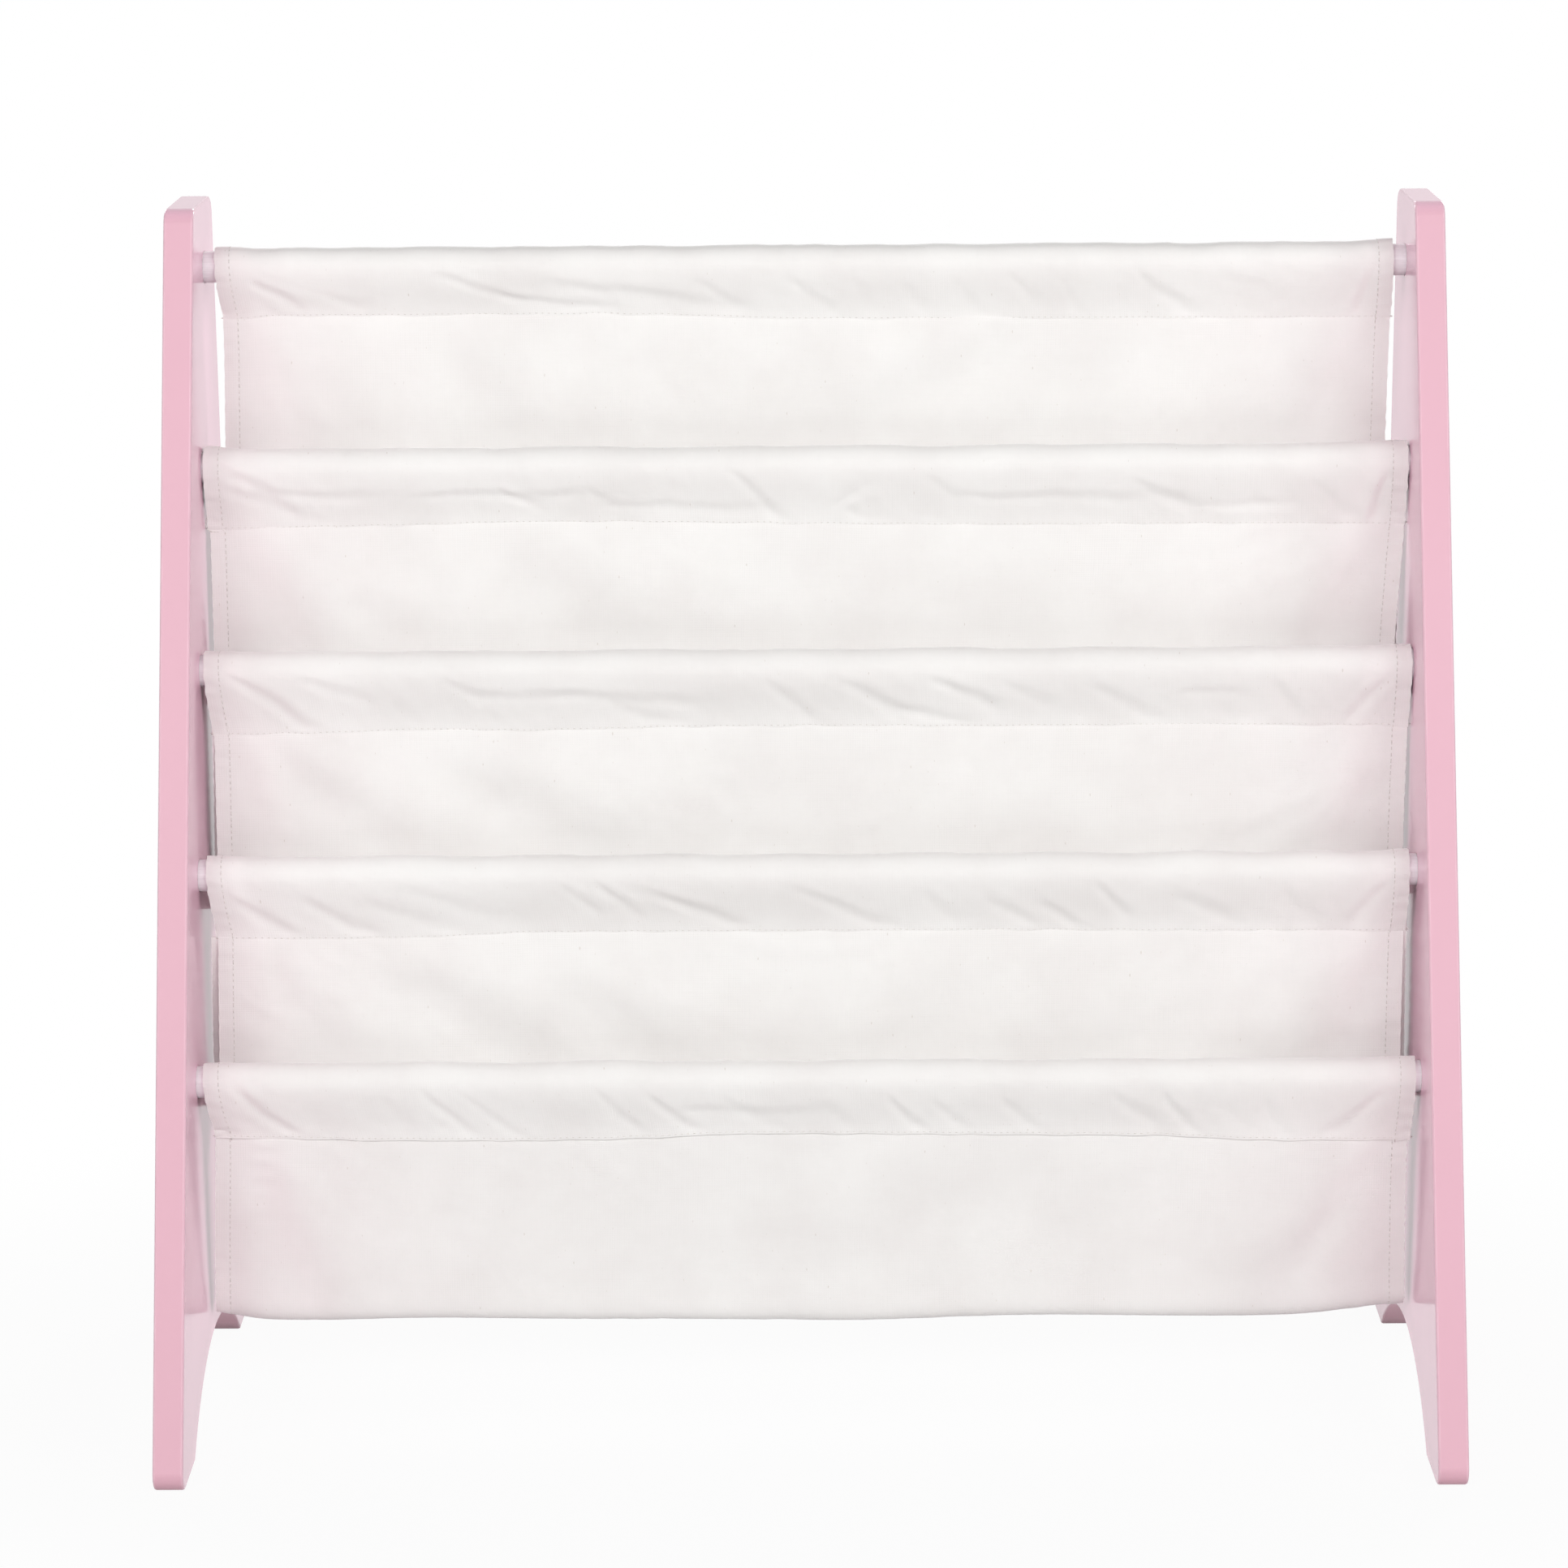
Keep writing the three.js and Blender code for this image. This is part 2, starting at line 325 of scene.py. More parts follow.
@dataclass(frozen=True)
class CottonCanvas(Finish):
    """Plain-woven cotton canvas, off-white: matt, slightly slubby, with a soft nap that lifts its edges."""

    name: str = "plain_woven_cotton_canvas"
    colour: int = 0xF3F1EF
    colour_shade: int = 0xEEEBE9
    colour_husk: int = 0xD9D3CC
    roughness: float = 0.88
    # The real thread is near 0.6 mm. It is drawn at 1.2 mm, because a finer weave doesn't show from here.
    thread_mm: float = 1.2
    slub_mm: float = 16.0
    slub_width_mm: float = 0.7
    husk_mm: tuple[float, float] = (1.1, 3.2)
    weave_deep_mm: float = 0.1
    cloud_mm: float = 60.0

    def surface(self, tree: bpy.types.NodeTree) -> bpy.types.Node:
        """Lays out the canvas on its flat cut: faint clouds, seed husk, and the relief of slubs and weave.

        Args:
            tree: the material's tree.

        Returns:
            The shader node.
        """
        flat = add(tree, "ShaderNodeUVMap", uv_map=FLAT_CUT).outputs["UV"]
        clouds = {"Vector": flat, "Scale": per(self.cloud_mm), "Detail": 4.0}
        cloud = add(tree, "ShaderNodeTexNoise", clouds)
        tints = ((0.35, self.colour_shade), (0.62, self.colour))
        tint = add(tree, "ShaderNodeValToRGB", {"Fac": cloud}, tints)
        # Slubs are thick places in a thread: long and thin, along the weft and along the warp.
        long, thin = per(self.slub_mm), per(self.slub_width_mm)
        slubs = []
        for scale in ((long, thin, 1.0), (thin, long, 1.0)):
            run = add(tree, "ShaderNodeMapping", {"Vector": flat, "Scale": scale})
            slubs.append(add(tree, "ShaderNodeTexNoise", {"Vector": run, "Scale": 1.0, "Detail": 1.0}))
        thick = add(tree, "ShaderNodeMath", {0: slubs[0], 1: slubs[1]}, operation="ADD")
        # Bits of seed husk in the yarn are short dark flecks along the warp, well apart.
        scale = (per(self.husk_mm[0]), per(self.husk_mm[1]), 1.0)
        husk_place = add(tree, "ShaderNodeMapping", {"Vector": flat, "Scale": scale})
        husk = add(tree, "ShaderNodeTexNoise", {"Vector": husk_place, "Scale": 1.0, "Detail": 0.0})
        rare = {"Value": husk, "From Min": 0.83, "From Max": 0.9, "To Min": 0.0, "To Max": 0.7}
        fleck = add(tree, "ShaderNodeMapRange", rare)
        mixed = {0: fleck, 6: tint, 7: linear(self.colour_husk)}
        marked = add(tree, "ShaderNodeMix", mixed, data_type="RGBA").outputs[2]
        # The weave itself: warp and weft as two sets of ridges.
        threads = {"Vector": flat, "Scale": ridges(self.thread_mm), "Distortion": 0.6}
        threads |= {"Detail": 1.0, "Detail Scale": 0.2}
        warp = add(tree, "ShaderNodeTexWave", threads, bands_direction="X").outputs["Fac"]
        weft = add(tree, "ShaderNodeTexWave", threads, bands_direction="Y").outputs["Fac"]
        woven = add(tree, "ShaderNodeMath", {0: warp, 1: weft}, operation="MULTIPLY")
        height = add(tree, "ShaderNodeMath", {0: thick, 1: 1.6, 2: woven}, operation="MULTIPLY_ADD")
        relief = {"Strength": 0.35, "Distance": self.weave_deep_mm * MM, "Height": height}
        bump = add(tree, "ShaderNodeBump", relief)
        cloth = {"Base Color": marked, "Roughness": self.roughness, "IOR": 1.45, "Specular IOR Level": 0.25}
        cloth |= {"Sheen Weight": 0.4, "Sheen Roughness": 0.45, "Normal": bump}
        return add(tree, "ShaderNodeBsdfPrincipled", cloth)


@dataclass(frozen=True)
class SewingThread(Finish):
    """Spun polyester thread: a little greyer and glossier than the canvas, with its twist just visible."""

    name: str = "spun_polyester_thread"
    colour: int = 0xE4E0DC
    colour_twist: int = 0xCFCAC6
    roughness: float = 0.6
    twist_mm: float = 0.8
    twist_deep_mm: float = 0.05

    def surface(self, tree: bpy.types.NodeTree) -> bpy.types.Node:
        """Lays out the thread, whose tint and relief follow its twist.

        Args:
            tree: the material's tree.

        Returns:
            The shader node.
        """
        place = add(tree, "ShaderNodeTexCoord").outputs["Object"]
        slant = {"Vector": place, "Scale": ridges(self.twist_mm), "Distortion": 0.4}
        twist = add(tree, "ShaderNodeTexWave", slant, bands_direction="DIAGONAL").outputs["Fac"]
        tints = ((0.0, self.colour_twist), (0.6, self.colour))
        tint = add(tree, "ShaderNodeValToRGB", {"Fac": twist}, tints)
        bump = add(
            tree, "ShaderNodeBump", {"Strength": 0.3, "Distance": self.twist_deep_mm * MM, "Height": twist}
        )
        yarn = {"Base Color": tint, "Roughness": self.roughness, "IOR": 1.5}
        yarn |= {"Sheen Weight": 0.2, "Normal": bump}
        return add(tree, "ShaderNodeBsdfPrincipled", yarn)


@dataclass(frozen=True)
class ZincPlate(Finish):
    """Bright zinc-plated steel: cool grey metal with the faint spots that plating leaves."""

    name: str = "bright_zinc_plated_steel"
    colour: int = 0xC3C7CB
    colour_dull: int = 0xB0B4B8
    roughness: float = 0.3
    spot_mm: float = 1.5
    spot_deep_mm: float = 0.03

    def surface(self, tree: bpy.types.NodeTree) -> bpy.types.Node:
        """Lays out the plating, whose tint, gloss and relief follow one set of spots.

        Args:
            tree: the material's tree.

        Returns:
            The shader node.
        """
        place = add(tree, "ShaderNodeTexCoord").outputs["Object"]
        plating = {"Vector": place, "Scale": per(self.spot_mm), "Detail": 3.0}
        spots = add(tree, "ShaderNodeTexNoise", plating)
        tints = ((0.35, self.colour_dull), (0.6, self.colour))
        tint = add(tree, "ShaderNodeValToRGB", {"Fac": spots}, tints)
        spread = {"Value": spots, "To Min": self.roughness - 0.08, "To Max": self.roughness + 0.12}
        gloss = add(tree, "ShaderNodeMapRange", spread)
        bump = add(
            tree, "ShaderNodeBump", {"Strength": 0.2, "Distance": self.spot_deep_mm * MM, "Height": spots}
        )
        metal = {"Base Color": tint, "Metallic": 1.0, "Roughness": gloss, "Normal": bump}
        return add(tree, "ShaderNodeBsdfPrincipled", metal)


@dataclass(frozen=True)
class StudioFloor(Finish):
    """Matt pale studio floor: it reads as white, and keeps a soft shadow under the shelf."""

    name: str = "matt_pale_studio_floor"
    colour: int = 0xD2D2D2
    white_near: float = 0.94
    shadow_half: tuple[float, float] = (0.34, 0.22)
    fade: float = 1.3

    def surface(self, tree: bpy.types.NodeTree) -> bpy.types.Node:
        """Lays out the floor, which only round the shelf shows its shadow. Farther off it is plain white.

        Args:
            tree: the material's tree.

        Returns:
            The shader node.
        """
        matt = add(tree, "ShaderNodeBsdfDiffuse", {"Color": linear(self.colour)})
        white = add(tree, "ShaderNodeEmission", {"Color": WHITE, "Strength": 1.0})
        seen = seen_ray(tree)
        place = add(tree, "ShaderNodeTexCoord").outputs["Object"]
        scale = (1 / self.shadow_half[0], 1 / self.shadow_half[1], 1.0)
        oval = add(tree, "ShaderNodeMapping", {"Vector": place, "Scale": scale})
        far = add(tree, "ShaderNodeVectorMath", {0: oval}, operation="LENGTH").outputs["Value"]
        fading = {"Value": far, "From Min": 1.0, "From Max": 1.0 + self.fade}
        fading |= {"To Min": self.white_near, "To Max": 1.0}
        near = add(tree, "ShaderNodeMapRange", fading, interpolation_type="SMOOTHSTEP")
        share = add(tree, "ShaderNodeMath", {0: seen, 1: near}, operation="MULTIPLY")
        return add(tree, "ShaderNodeMixShader", {0: share, 1: matt, 2: white})


# ---- Panels, rods and screws


@dataclass
class Carpentry:
    """The rigid pieces: two panels, five rods and ten screws, smoothed where the real ones are round.

    Each CAD node is loose flat triangles. A merged copy takes its place, with normals that run
    smoothly round the arcs and the eased edges and stay flat on the faces. A face that belongs to an
    eased edge slants between a flat face and an edge, and is no wider and longer than an easing.
    """

    board: bpy.types.Material
    dowel: bpy.types.Material
    zinc: bpy.types.Material
    rod_count: int = 5
    merge_within: float = 0.002 * MM
    smooth_within: float = math.radians(50)
    flat_cosine: float = 0.99999
    eased_width: float = 1.3 * MM
    eased_length: float = 0.7
    eased_tilt: tuple[float, float] = (0.1, 0.99)

    def build(self) -> None:
        """Makes every rigid piece."""
        for side in Side:
            self._copy(f"side_panel_{side.value}", f"panel_{side.value}_board", self.board)
            for number in range(1, self.rod_count + 1):
                screw = f"screw_{side.value}_{number}"
                self._copy(screw, f"{screw}_zinc", self.zinc)
        for number in range(1, self.rod_count + 1):
            self._copy(f"rod_{number}", f"rod_{number}_dowel", self.dowel)

    def _copy(self, node: str, name: str, material: bpy.types.Material) -> None:
        """Puts a merged, smoothed copy of a CAD node in its place.

        Args:
            node: the CAD node.
            name: the new piece's name.
            material: its finish.
        """
        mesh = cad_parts[node].data.copy()
        mesh.name = name
        work = bmesh.new()
        work.from_mesh(mesh)
        bmesh.ops.remove_doubles(work, verts=work.verts, dist=self.merge_within)
        work.to_mesh(mesh)
        work.free()
        self._shade(mesh)
        piece = mesh_piece(name, mesh, material)
        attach(piece, ROOT)
        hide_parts(node)
        LOG.info("%s: %d triangles", name, len(mesh.polygons))

    def _shade(self, mesh: bpy.types.Mesh) -> None:
        """Gives a mesh smooth arcs and flat faces, and marks its eased faces and its routed faces, whose
        mark is graded as painted shade.

        Args:
            mesh: the merged mesh, which is changed.
        """
        work = bmesh.new()
        work.from_mesh(mesh)
        work.faces.ensure_lookup_table()
        region = self._regions(work)
        area = np.zeros(max(region) + 1)
        for face in work.faces:
            area[region[face.index]] += face.calc_area()
        limit = math.cos(self.smooth_within)
        normals, eased, routed_and_shaded = [], [], []
        for face in work.faces:
            narrow = self._narrow(face)
            # The edges count as routed, most where they face up least: there they are duller, rougher and
            # painted with shade, while the level tops, which face the light, stay lighter. The flat sides
            # weren't routed.
            lower = min(max((0.95 - face.normal.z) / 0.5, 0.0), 1.0)
            for loop in face.loops:
                total = Vector((0.0, 0.0, 0.0))
                seen = set()
                for other in loop.vert.link_faces:
                    key = region[other.index]
                    if key not in seen and other.normal.dot(face.normal) > limit:
                        seen.add(key)
                        total += other.normal * area[key] ** 2
                normals.append(total.normalized() if total.length > 0 else face.normal.copy())
                eased.append(1.0 if narrow else 0.0)
                routed_and_shaded.append(lower if abs(face.normal.x) < 0.5 else 0.0)
        work.free()
        for label, values in (("eased", eased), ("routed_and_shaded", routed_and_shaded)):
            layer = mesh.attributes.new(label, "FLOAT", "CORNER")
            layer.data.foreach_set("value", np.array(values, np.float32))
        mesh.polygons.foreach_set("use_smooth", np.ones(len(mesh.polygons), bool))
        mesh.normals_split_custom_set([tuple(n) for n in normals])

    def _regions(self, work: bmesh.types.BMesh) -> list[int]:
        """Numbers the flat regions of a mesh.

        Args:
            work: the mesh.

        Returns:
            The region of each face.
        """
        region = [-1] * len(work.faces)
        count = 0
        for start in work.faces:
            if region[start.index] >= 0:
                continue
            region[start.index] = count
            queue = [start]
            while queue:
                face = queue.pop()
                for edge in face.edges:
                    for other in edge.link_faces:
                        if region[other.index] < 0 and other.normal.dot(start.normal) > self.flat_cosine:
                            region[other.index] = count
                            queue.append(other)
            count += 1
        return region

    def _narrow(self, face: bmesh.types.BMFace) -> bool:
        """Tells whether a face belongs to an eased edge."""
        least, most = self.eased_tilt
        return least < abs(face.normal.x) < most and face.calc_area() < self.eased_width * self.eased_length


# ---- The sling's creases, seams and edges


def smooth_step(x: np.ndarray) -> np.ndarray:
    """Rises smoothly from 0 to 1 as x does."""
    x = np.clip(x, 0.0, 1.0)
    return x * x * (3 - 2 * x)


@dataclass(frozen=True)
class RodPlace:
    """Where one rod lies, seen from its end."""

    y: float
    z: float


@dataclass(frozen=True)
class Crease:
    """A crease in cloth, from one place to another, in millimetres.

    x runs along the shelf. s is the way along the cloth from a seam: up from it on a casing, and
    down from it on a pocket's wall. A positive depth is a valley, and a negative one a ridge. lip is
    the height of the ridge beside it, as a share of its depth.
    """

    x0: float
    s0: float
    x1: float
    s1: float
    deep: float = 1.0
    wide: float = 3.6
    lip: float = 0.5

    def sink(self, x: np.ndarray, s: np.ndarray) -> np.ndarray:
        """Gives how far the cloth sinks at places on it.

        Args:
            x: places along the shelf, in metres.
            s: places from the seam, in metres.

        Returns:
            The depth, in metres.
        """
        start = np.array([self.x0, self.s0]) * MM
        run = np.array([self.x1, self.s1]) * MM - start
        length = float(np.hypot(*run))
        way = run / length
        along = ((x - start[0]) * way[0] + (s - start[1]) * way[1]) / length
        # The ridge beside it lies on the upper side.
        across = ((x - start[0]) * way[1] - (s - start[1]) * way[0]) * (1 if way[0] * way[1] > 0 else -1)
        # It doesn't run quite straight.
        across = across + 0.7 * MM * np.sin(along * length / (9 * MM) + self.x0)
        across = across + 0.3 * MM * np.sin(x / (3.5 * MM))
        # It opens out as it goes, and fades at both ends. A broad fold comes up slowly.
        width = self.wide * MM * (0.7 + 0.5 * np.clip(along, 0, 1.2))
        slow = 0.3 + 0.03 * max(self.wide - 5, 0)
        ends = smooth_step(along / slow + 0.3) * smooth_step((1.3 - along) / 0.45)
        ridge = self.lip * np.exp(-(((across - 1.7 * width) / width) ** 2))
        return self.deep * MM * ends * (np.exp(-((across / width) ** 2)) - ridge)


def creases(*rows: tuple[float, ...]) -> tuple[Crease, ...]:
    """Makes creases of rows of numbers: from x and s, to x and s, and then the depth and the width."""
    return tuple(Crease(*row) for row in rows)


def sunk(listed: Iterable[Crease], x: np.ndarray, s: np.ndarray) -> np.ndarray:
    """Adds up how far the cloth sinks, in metres, at all the creases listed."""
    return sum(crease.sink(x, s) for crease in listed)


@dataclass(frozen=True)
class Ends:
    """How far left and right a casing reaches, in metres, on the rod and at the seam.

    lip is how far the corners of its back layer stick out at the seam.
    """

    rod_left: float
    rod_right: float
    seam_left: float
    seam_right: float
    lip: float


@dataclass(frozen=True)
class Edges:
    """Where a wall's two side edges run, in millimetres: at the seam, and from a depth below it."""

    left_top: float
    right_top: float
    left_low: float
    right_low: float
    depth: float = 75.0

    def at(self, down: np.ndarray) -> np.ndarray:
        """Finds both edges.

        Args:
            down: distances down from the seam.

        Returns:
            The left edge's places and the right one's, in metres.
        """
        share = smooth_step(down / (self.depth * MM))
        sides = ((self.left_top, self.left_low), (self.right_top, self.right_low))
        return np.stack([(top + (low - top) * share) * MM for top, low in sides])


# Creases of each casing, from the top one down. Most run down to the right, from the hem or the rod.
CASING_CREASES = (
    creases(
        (-286, 24, -262, 4, 1.5, 3.2), (-250, 15, -230, 4, 0.7), (-191, 26, -152, 11, 1.2, 3.0),
        (-158, 12, -112, 4, 1.0, 3.0), (-140, 22, -50, 7, 1.0, 4.0), (-57, 22, -33, 6, 1.0),
        (-6, 22, 12, 5, 0.9), (24, 24, 34, 4, 0.7), (48, 22, 60, 4, 0.7), (74, 24, 88, 6, 0.6),
        (104, 25, 118, 10, 0.9, 3.0), (130, 24, 141, 4, 0.8, 3.0), (170, 27, 199, 2, 1.1),
        (214, 24, 238, 16, 0.6), (291, 26, 287, 2, 1.3, 3.0),
    ),
    creases(
        (-298, 32, -268, 17, 1.6, 3.0), (-272, 17.5, -222, 15.5, 1.0, 2.4),
        (-293, 20, -262, 9, 1.2, 3.0), (-264, 11, -245, 1, 0.9), (-200, 16, -118, 15, 1.0, 2.6),
        (-156, 20, -137, 9, 1.2, 2.2), (-111, 20, -98, 9, 0.9, 2.6), (-106, 9.5, -25, 8, 0.8, 2.6),
        (-40, 30, -12, 2, 1.3, 3.0), (14, 9, 32, 22, 0.9, 2.6), (20, 9, 36, 1, 0.8),
        (60, 25, 76, 13, 0.8, 2.8), (74, 14.5, 172, 13.5, 1.0, 2.6), (164, 23, 195, 8, 1.2, 3.0),
        (198, 10, 242, 10.5, 1.0, 2.2), (254, 22, 274, 4, 0.9, 3.0), (293, 25, 287, 1, 1.7, 2.8),
    ),
    creases(
        (-293, 31, -252, 2, 1.6, 3.2), (-256, 28, -224, 15, 0.9, 3.0), (-182, 26, -163, 16, 1.0, 2.6),
        (-170, 19, -110, 15, 0.9, 3.0), (-136, 19, -60, 13, 1.0, 3.0), (-101, 13, -70, 2, 1.0),
        (-22, 25, 0, 3, 1.1), (17, 24, 45, 8, 1.4), (41, 10, 80, 1, 1.3, 3.2),
        (60, 25, 92, 12, 1.4, 3.0), (98, 22, 120, 11, 0.9), (142, 21, 175, 3, 1.0),
        (185, 17.5, 216, 17, 0.8, 2.4), (232, 24, 248, 6, 0.8), (291, 26, 273, 2, 1.1, 3.0),
    ),
    creases(
        (-292, 19, -262, 1, 1.5, 3.2), (-258, 20, -222, 1, 1.3, 3.4), (-226, 20, -182, 2, 0.8),
        (-204, 24, -160, 10, 0.6), (-126, 27, -108, 12, 1.1, 2.6), (-108, 27, -88, 11, 1.3, 2.8),
        (-81, 23, -40, 4, 1.5, 3.2), (-9, 23, 38, 3, 1.2, 3.4), (56, 22, 74, 5, 0.7),
        (90, 18, 112, 3, 0.9, 3.0), (116, 16, 135, 1, 1.1, 3.0), (144, 26, 161, 9, 1.3, 2.8),
        (184, 20, 216, 4, 0.8), (240, 22, 256, 4, 0.7), (292, 26, 276, 4, 1.1, 3.0),
    ),
    creases(
        (-290, 33, -264, 1, 1.7, 3.4), (-216, 24, -205, 6, 0.7, 3.4), (-194, 28, -173, 2, 1.2, 2.8),
        (-178, 27, -147, 1, 0.8, 2.6), (-108, 27, -88, 5, 0.9, 2.8), (-82, 25, -59, 2, 1.3, 2.8),
        (-73, 15, 0, 12, 0.8, 3.2), (-45, 22, -20, 4, 0.8), (4, 20, 17, 4, 0.8),
        (38, 24, 55, 1, 1.3, 2.8), (60, 20, 76, 4, 0.9, 3.0), (95, 23, 111, 4, 1.0, 3.0),
        (149, 23, 175, 7, 0.9), (175, 25, 193, 3, 1.3, 2.8), (226, 22, 240, 3, 0.7),
        (289, 26, 262, 2, 1.1, 3.2),
    ),
)

# How each seam wanders along the shelf: places across and how far it runs above its level, in millimetres.
SEAM_LINES = (
    (
        (-300, 1.2), (-280, 3.2), (-100, 3.2), (-45, 1.6), (-15, 0.1), (150, -0.5), (300, -1.0),
    ),
    (
        (-300, -3.2), (-200, -1.5), (-150, -0.3), (-95, -0.4), (0, -2.0), (100, -3.1), (200, -3.0),
        (300, -3.8),
    ),
    (
        (-300, -4.8), (-240, -4.2), (-200, -2.4), (-150, -3.6), (-70, -1.9), (0, -1.5), (80, -2.3),
        (200, -2.1), (300, -3.0),
    ),
    (
        (-300, -4.8), (-235, -4.9), (-180, -3.9), (-150, -1.9), (100, -2.0), (200, -2.8), (300, -3.4),
    ),
    (
        (-300, -0.6), (-262, -0.8), (-235, -2.0), (-140, -2.6), (-80, -1.5), (-50, 0.5), (0, 0.5),
        (180, -1.4), (225, -4.2), (300, -4.4),
    ),
)

# Soft folds of each pocket's back wall: broad valleys that hang from the hems and the seam.
WALL_FOLDS = (
    creases(
        (122, 8, 30, 55, 3.0, 12), (-222, 22, -206, 62, 2.0, 14), (-190, 12, -148, 68, 2.8, 14),
        (-294, 6, -272, 66, 1.8, 12), (294, 4, 264, 60, 2.6, 13), (262, 24, 236, 62, 1.1, 12),
        (-12, 10, 4, 40, 0.8, 18),
    ),
    creases(
        (-290, 4, -262, 72, 3.6, 13), (-236, 42, -204, 62, 2.0, 10), (-154, 26, -92, 70, 3.6, 18),
        (92, 30, 128, 70, 1.0, 18), (254, 4, 204, 20, 0.6, 4.0), (268, 26, 236, 42, 0.7, 4.0),
        (292, 12, 264, 72, 3.4, 14), (250, 40, 224, 70, 1.2, 12), (60, 40, 110, 66, 0.8, 13),
    ),
    creases(
        (-254, 26, -208, 70, 3.2, 12), (-272, 10, -246, 46, 2.2, 8), (-190, 24, -104, 70, 4.2, 14),
        (-292, 14, -276, 66, 1.8, 9), (118, 40, 70, 70, 1.0, 18), (290, 24, 274, 70, 3.4, 12),
        (264, 42, 212, 68, 1.3, 5.0), (232, 10, 196, 36, 0.9, 16),
    ),
    creases(
        (-276, 20, -238, 70, 2.0, 10), (-218, 24, -140, 70, 4.4, 14), (-134, 28, -74, 72, 3.4, 13),
        (-294, 40, -268, 56, 1.1, 4.0), (110, 26, 56, 62, 1.5, 16), (206, 40, 146, 66, 1.5, 12),
        (292, 10, 270, 70, 3.0, 12), (252, 20, 214, 50, 0.9, 10),
    ),
)

# Soft folds of the front wall that shows, below the lowest rod.
FRONT_FOLDS = creases(
    (-288, 2, -258, 94, 3.4, 12), (111, 14, 13, 80, 1.6, 18), (292, 10, 262, 48, 1.6, 9),
    (270, 44, 240, 84, 2.2, 10), (-60, 10, -40, 84, 0.8, 29), (168, 12, 196, 84, 1.0, 23),
    (-260, 12, -236, 34, 0.8, 8),
)

# The casings' ends, from the top casing down, as they show in the photograph.
CASING_ENDS = tuple(
    Ends(*(place * MM for place in row))
    for row in (
        (-299.7, 298.2, -296.3, 298.4, 0.0),
        (-304.0, 303.9, -303.6, 303.9, 0.3),
        (-303.5, 303.9, -300.2, 303.7, 0.6),
        (-301.6, 300.9, -296.9, 300.4, 1.4),
        (-302.7, 302.2, -296.9, 300.9, 0.6),
    )
)

# The side edges of each pocket's back wall, of the front walls that are hidden, and of the front wall
# that shows.
BACK_EDGES = (
    Edges(-296.5, 298.2, -297.7, 296.8),
    Edges(-302.5, 303.7, -302.6, 299.4),
    Edges(-299.7, 303.4, -300.2, 302.3),
    Edges(-297.0, 299.7, -298.4, 299.3),
)
HIDDEN_EDGES = Edges(-300.5, 301.5, -303.4, 303.0)
SHOWN_EDGES = Edges(-297.6, 299.8, -303.4, 301.6, 110.0)
LOWEST_POCKET = 4

# How the bottom corners of a pocket rise, left and right, where the hems are stiffer: how far up and from
# how far in, in millimetres, and how hollow the rise is.
CORNER_RISES = ((8.0, 26.0, 1.3), (9.0, 62.0, 1.2))


# ---- Cloth


@dataclass
class Cloth:
    """A piece of cloth as a grid of points: rows run along the shelf, and columns from seam to seam.

    flat_x and run hold the place of each column and of each row on the flat cut. across holds the
    flat distance between columns, one for each row, and along the flat distance between rows, one
    for each pair of rows and each column.
    """

    base: np.ndarray
    flat_x: np.ndarray
    run: np.ndarray
    across: np.ndarray
    along: np.ndarray = field(init=False)
    points: np.ndarray = field(init=False)

    def __post_init__(self) -> None:
        """Starts the cloth on its base shape."""
        self.points = self.base.copy()

    def held_at_seams(self) -> np.ndarray:
        """Marks what the seams hold.

        Returns:
            A mark for each point, which is true in the first row and the last one.
        """
        held = np.zeros(self.base.shape[:2], bool)
        held[0] = held[-1] = True
        return held


